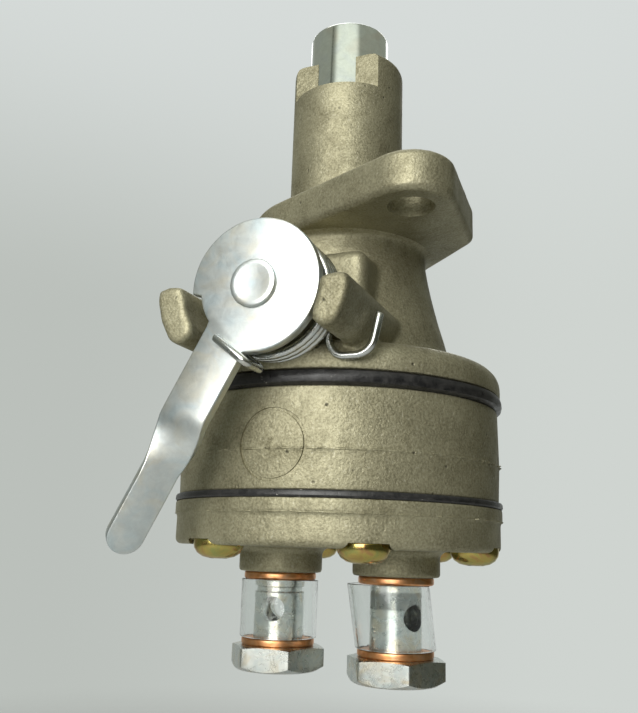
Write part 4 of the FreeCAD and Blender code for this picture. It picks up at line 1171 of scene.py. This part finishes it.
for label, node, body, joint, diameter, turns, travel, fixed_top in (
    ("tappet", "delivery_spring", "rod", "tappet_slide", 1.4, 7.5, 4.0, False),
    ("diaphragm", "return_spring", "housing", "rod_slide", 1.5, 4.0, 3.267, False),
    ("inlet", "inlet_valve_spring", "housing", "inlet_valve_lift", 0.5, 4.5, 1.2, True),
    ("outlet", "outlet_valve_spring", "housing", "outlet_valve_lift", 0.5, 4.5, 1.2, False),
):
    inner_spring(label + "_spring_wire", node, body, diameter, turns)

# %% [markdown]
# ## The diaphragm's middle
# The middle of the diaphragm is clamped to the pull rod and moves with it. The web between the middle and
# the rim is drawn as twelve sectors.

# %% Diaphragm middle and web
MEMBRANE_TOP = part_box("diaphragm_upper_plate")[0][2] / MM
MEMBRANE_BOTTOM = MEMBRANE_TOP - 1.4
middle = as_object("diaphragm_middle", spun([
    (2.55, MEMBRANE_BOTTOM), (17.0, MEMBRANE_BOTTOM), (17.0, MEMBRANE_TOP), (2.55, MEMBRANE_TOP),
], closed=True))
piece(middle, "rod", "black_rubber")
for i in range(12):
    web = bmesh.new()
    profile = [
        (16.9, MEMBRANE_BOTTOM), (18.5, MEMBRANE_BOTTOM), (21.0, -41.2), (24.2, -41.8),
        (24.2, CAP_BOTTOM - 0.7), (21.0, -39.75), (18.5, MEMBRANE_TOP), (16.9, MEMBRANE_TOP),
    ]
    section = web.faces.new([web.verts.new((r, 0, z)) for r, z in profile])
    bmesh.ops.spin(
        web, geom=[section], cent=(0, 0, 0), axis=(0, 0, 1), dvec=(0, 0, 0), angle=math.radians(30), steps=6,
        use_merge=False, use_duplicate=False,
    )
    placed(web, turned(30 * i))
    sector = as_object(f"diaphragm_web_{i + 1}", web)
    shade(sector, RUBBER, 35)
    way = Vector((math.cos(math.radians(30 * i + 15)), math.sin(math.radians(30 * i + 15)), 0))
    inner_point, outer_point = way * 17.2 * MM, way * 22.5 * MM
    inner_point.z = outer_point.z = CAP_BOTTOM * MM
    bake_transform(sector)

# %% [markdown]
# ## Pieces that need no new shape
# The small turned pieces inside the pump are already right as solids: valves, plates, clips, guide
# and rod. They only take their finishes.

# %% Finishes for the rest of the solids
node_slots = {}
for slot_name, names in {
    "brass": ("inlet_valve_seat", "outlet_valve_seat", "inlet_valve_cage", "outlet_valve_cage"),
    "cast_aluminium": ("rod_guide",),
    "zinc_steel": ("diaphragm_upper_plate", "diaphragm_lower_plate", "diaphragm_nut"),
    "ground_steel": ("pull_rod",),
    "spring_steel": ("tappet_clip", "shaft_clip"),
    "black_rubber": ("rod_seal", "shaft_o_ring", "inlet_valve_disc", "outlet_valve_disc"),
}.items():
    for name in names:
        node_slots[name] = slot_name
for name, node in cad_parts.items():
    if node.hide_render:
        continue
    slot_name = node_slots[name]
    node.data.materials.clear()
    node.data.materials.append(FINISH[slot_name])
    print(name, "keeps its solid shape with", slot_name)

# %% [markdown]
# ## Light, floor and background
# The photograph has a pale grey background that is a little brighter at the top and on the right. The
# light is broad and frontal, so round pieces are bright in the middle and dark at both sides. The
# background is a gradient in the world for the camera, for clear pieces, and for metal that mirrors
# what lies behind the pump. Elsewhere metal mirrors a darker room. A bright patch high in front and a
# narrow dark band at the left are put where the tappet mirrors them at the photograph's view. A pale
# round floor that fades out at its edge takes the shadow.

# %% World
def linear(*levels):
    """A colour given as it looks on the screen, from 0 to 255."""
    return tuple(
        v / 255 / 12.92 if v / 255 <= 0.04045 else ((v / 255 + 0.055) / 1.055) ** 2.4 for v in levels
    ) + (1.0,)


def gradient(tree, direction, along, low, high):
    """Zero to one as a direction's share along a vector goes from low to high."""
    share = add(tree, "ShaderNodeVectorMath", {"operation": "DOT_PRODUCT"}, i0=direction, i1=tuple(along))
    return remap(tree, share.outputs["Value"], low, high, kind="SMOOTHSTEP")


world = bpy.data.worlds.new("pale room")
bpy.context.scene.world = world
world.use_nodes = True
tree = world.node_tree
tree.nodes.clear()
direction = tree.nodes.new("ShaderNodeTexCoord").outputs["Generated"]
screen_right = (0.9239, 0.3827, 0.0)


def shift(colour, along, low, high, *levels):
    """Goes over from a colour to another one as a direction's share along a vector goes from low to high."""
    return blend_colours(tree, gradient(tree, direction, along, low, high), colour, linear(*levels))


seen = shift(linear(187, 192, 187), screen_right, -0.33, 0.33, 207, 212, 208)
seen = shift(seen, (0, 0, 1), 0.26, 0.62, 214, 219, 217)
room = shift(linear(112, 116, 108), (1, 0, 0), -0.5, 0.6, 70, 72, 60)
room = shift(room, (0, 0, 1), 0.2, 0.8, 150, 154, 144)
room = shift(room, (0, 0, -1), 0.15, 0.6, 58, 52, 46)
room = shift(room, heading(12, 0.766, 0.643), 0.84, 0.94, 250, 255, 244)
left_edge = gradient(tree, direction, heading(47, 1), 0.0, 0.08)
right_edge = gradient(tree, direction, -heading(57, 1), 0.0, 0.08)
room = blend_colours(tree, maths(tree, "MULTIPLY", left_edge, right_edge), room, linear(40, 46, 34))
paths = tree.nodes.new("ShaderNodeLightPath")
behind = gradient(tree, direction, (-0.38, 0.92, 0), 0.6, 0.95)
mirrored = maths(tree, "MULTIPLY", paths.outputs["Is Glossy Ray"], behind)
clear = maths(tree, "MAXIMUM", paths.outputs["Is Camera Ray"], paths.outputs["Is Transmission Ray"])
clear = maths(tree, "MAXIMUM", clear, mirrored)
around = blend_colours(tree, paths.outputs["Is Glossy Ray"], linear(62, 62, 56), room)
colour = blend_colours(tree, clear, around, seen)
background = add(tree, "ShaderNodeBackground", None, Color=colour, Strength=1.0)
output = tree.nodes.new("ShaderNodeOutputWorld")
feed(tree, output, Surface=background.outputs[0])


# %% Lamps and floor
def lamp(name, place, target, size, power, colour=(1, 1, 1)):
    data = bpy.data.lights.new(name, "AREA")
    data.shape = "RECTANGLE"
    data.size, data.size_y = size
    data.energy = power
    data.color = colour
    light = bpy.data.objects.new(name, data)
    light.location = place
    light.rotation_euler = (Vector(target) - Vector(place)).to_track_quat("-Z", "Y").to_euler()
    bpy.context.scene.collection.objects.link(light)


lamp("window", (0.02, -0.52, 0.12), (0, 0, -0.02), (0.38, 0.48), 3.2, (1.0, 0.99, 0.96))
lamp("top", (-0.10, 0.05, 0.55), (0, 0, 0), (0.3, 0.3), 0.5)
lamp("back", (-0.12, 0.42, 0.36), (0, 0, -0.02), (0.34, 0.34), 0.7)

floor_mesh = bmesh.new()
bmesh.ops.create_circle(
    floor_mesh, cap_ends=True, segments=128, radius=450.0, matrix=Matrix.Translation((0, 0, -165.0)),
)
floor = as_object("floor", floor_mesh)
material, tree, shader = start_material("pale floor", Roughness=0.9)
material.surface_render_method = "BLENDED"
place = tree.nodes.new("ShaderNodeTexCoord").outputs["Object"]
flat = add(tree, "ShaderNodeVectorMath", {"operation": "MULTIPLY"}, i0=place, i1=(1, 1, 0)).outputs[0]
far = add(tree, "ShaderNodeVectorMath", {"operation": "LENGTH"}, i0=flat).outputs["Value"]
mottle = noise(tree, place, 30.0, 3.0)
tone = blend_colours(tree, mottle, linear(226, 229, 226), linear(232, 235, 232))
feed(tree, shader, Base_Color=tone, Alpha=remap(tree, far, 0.14, 0.44, 1.0, 0.0, kind="SMOOTHSTEP"))
floor.data.materials.append(material)
print("stage ready")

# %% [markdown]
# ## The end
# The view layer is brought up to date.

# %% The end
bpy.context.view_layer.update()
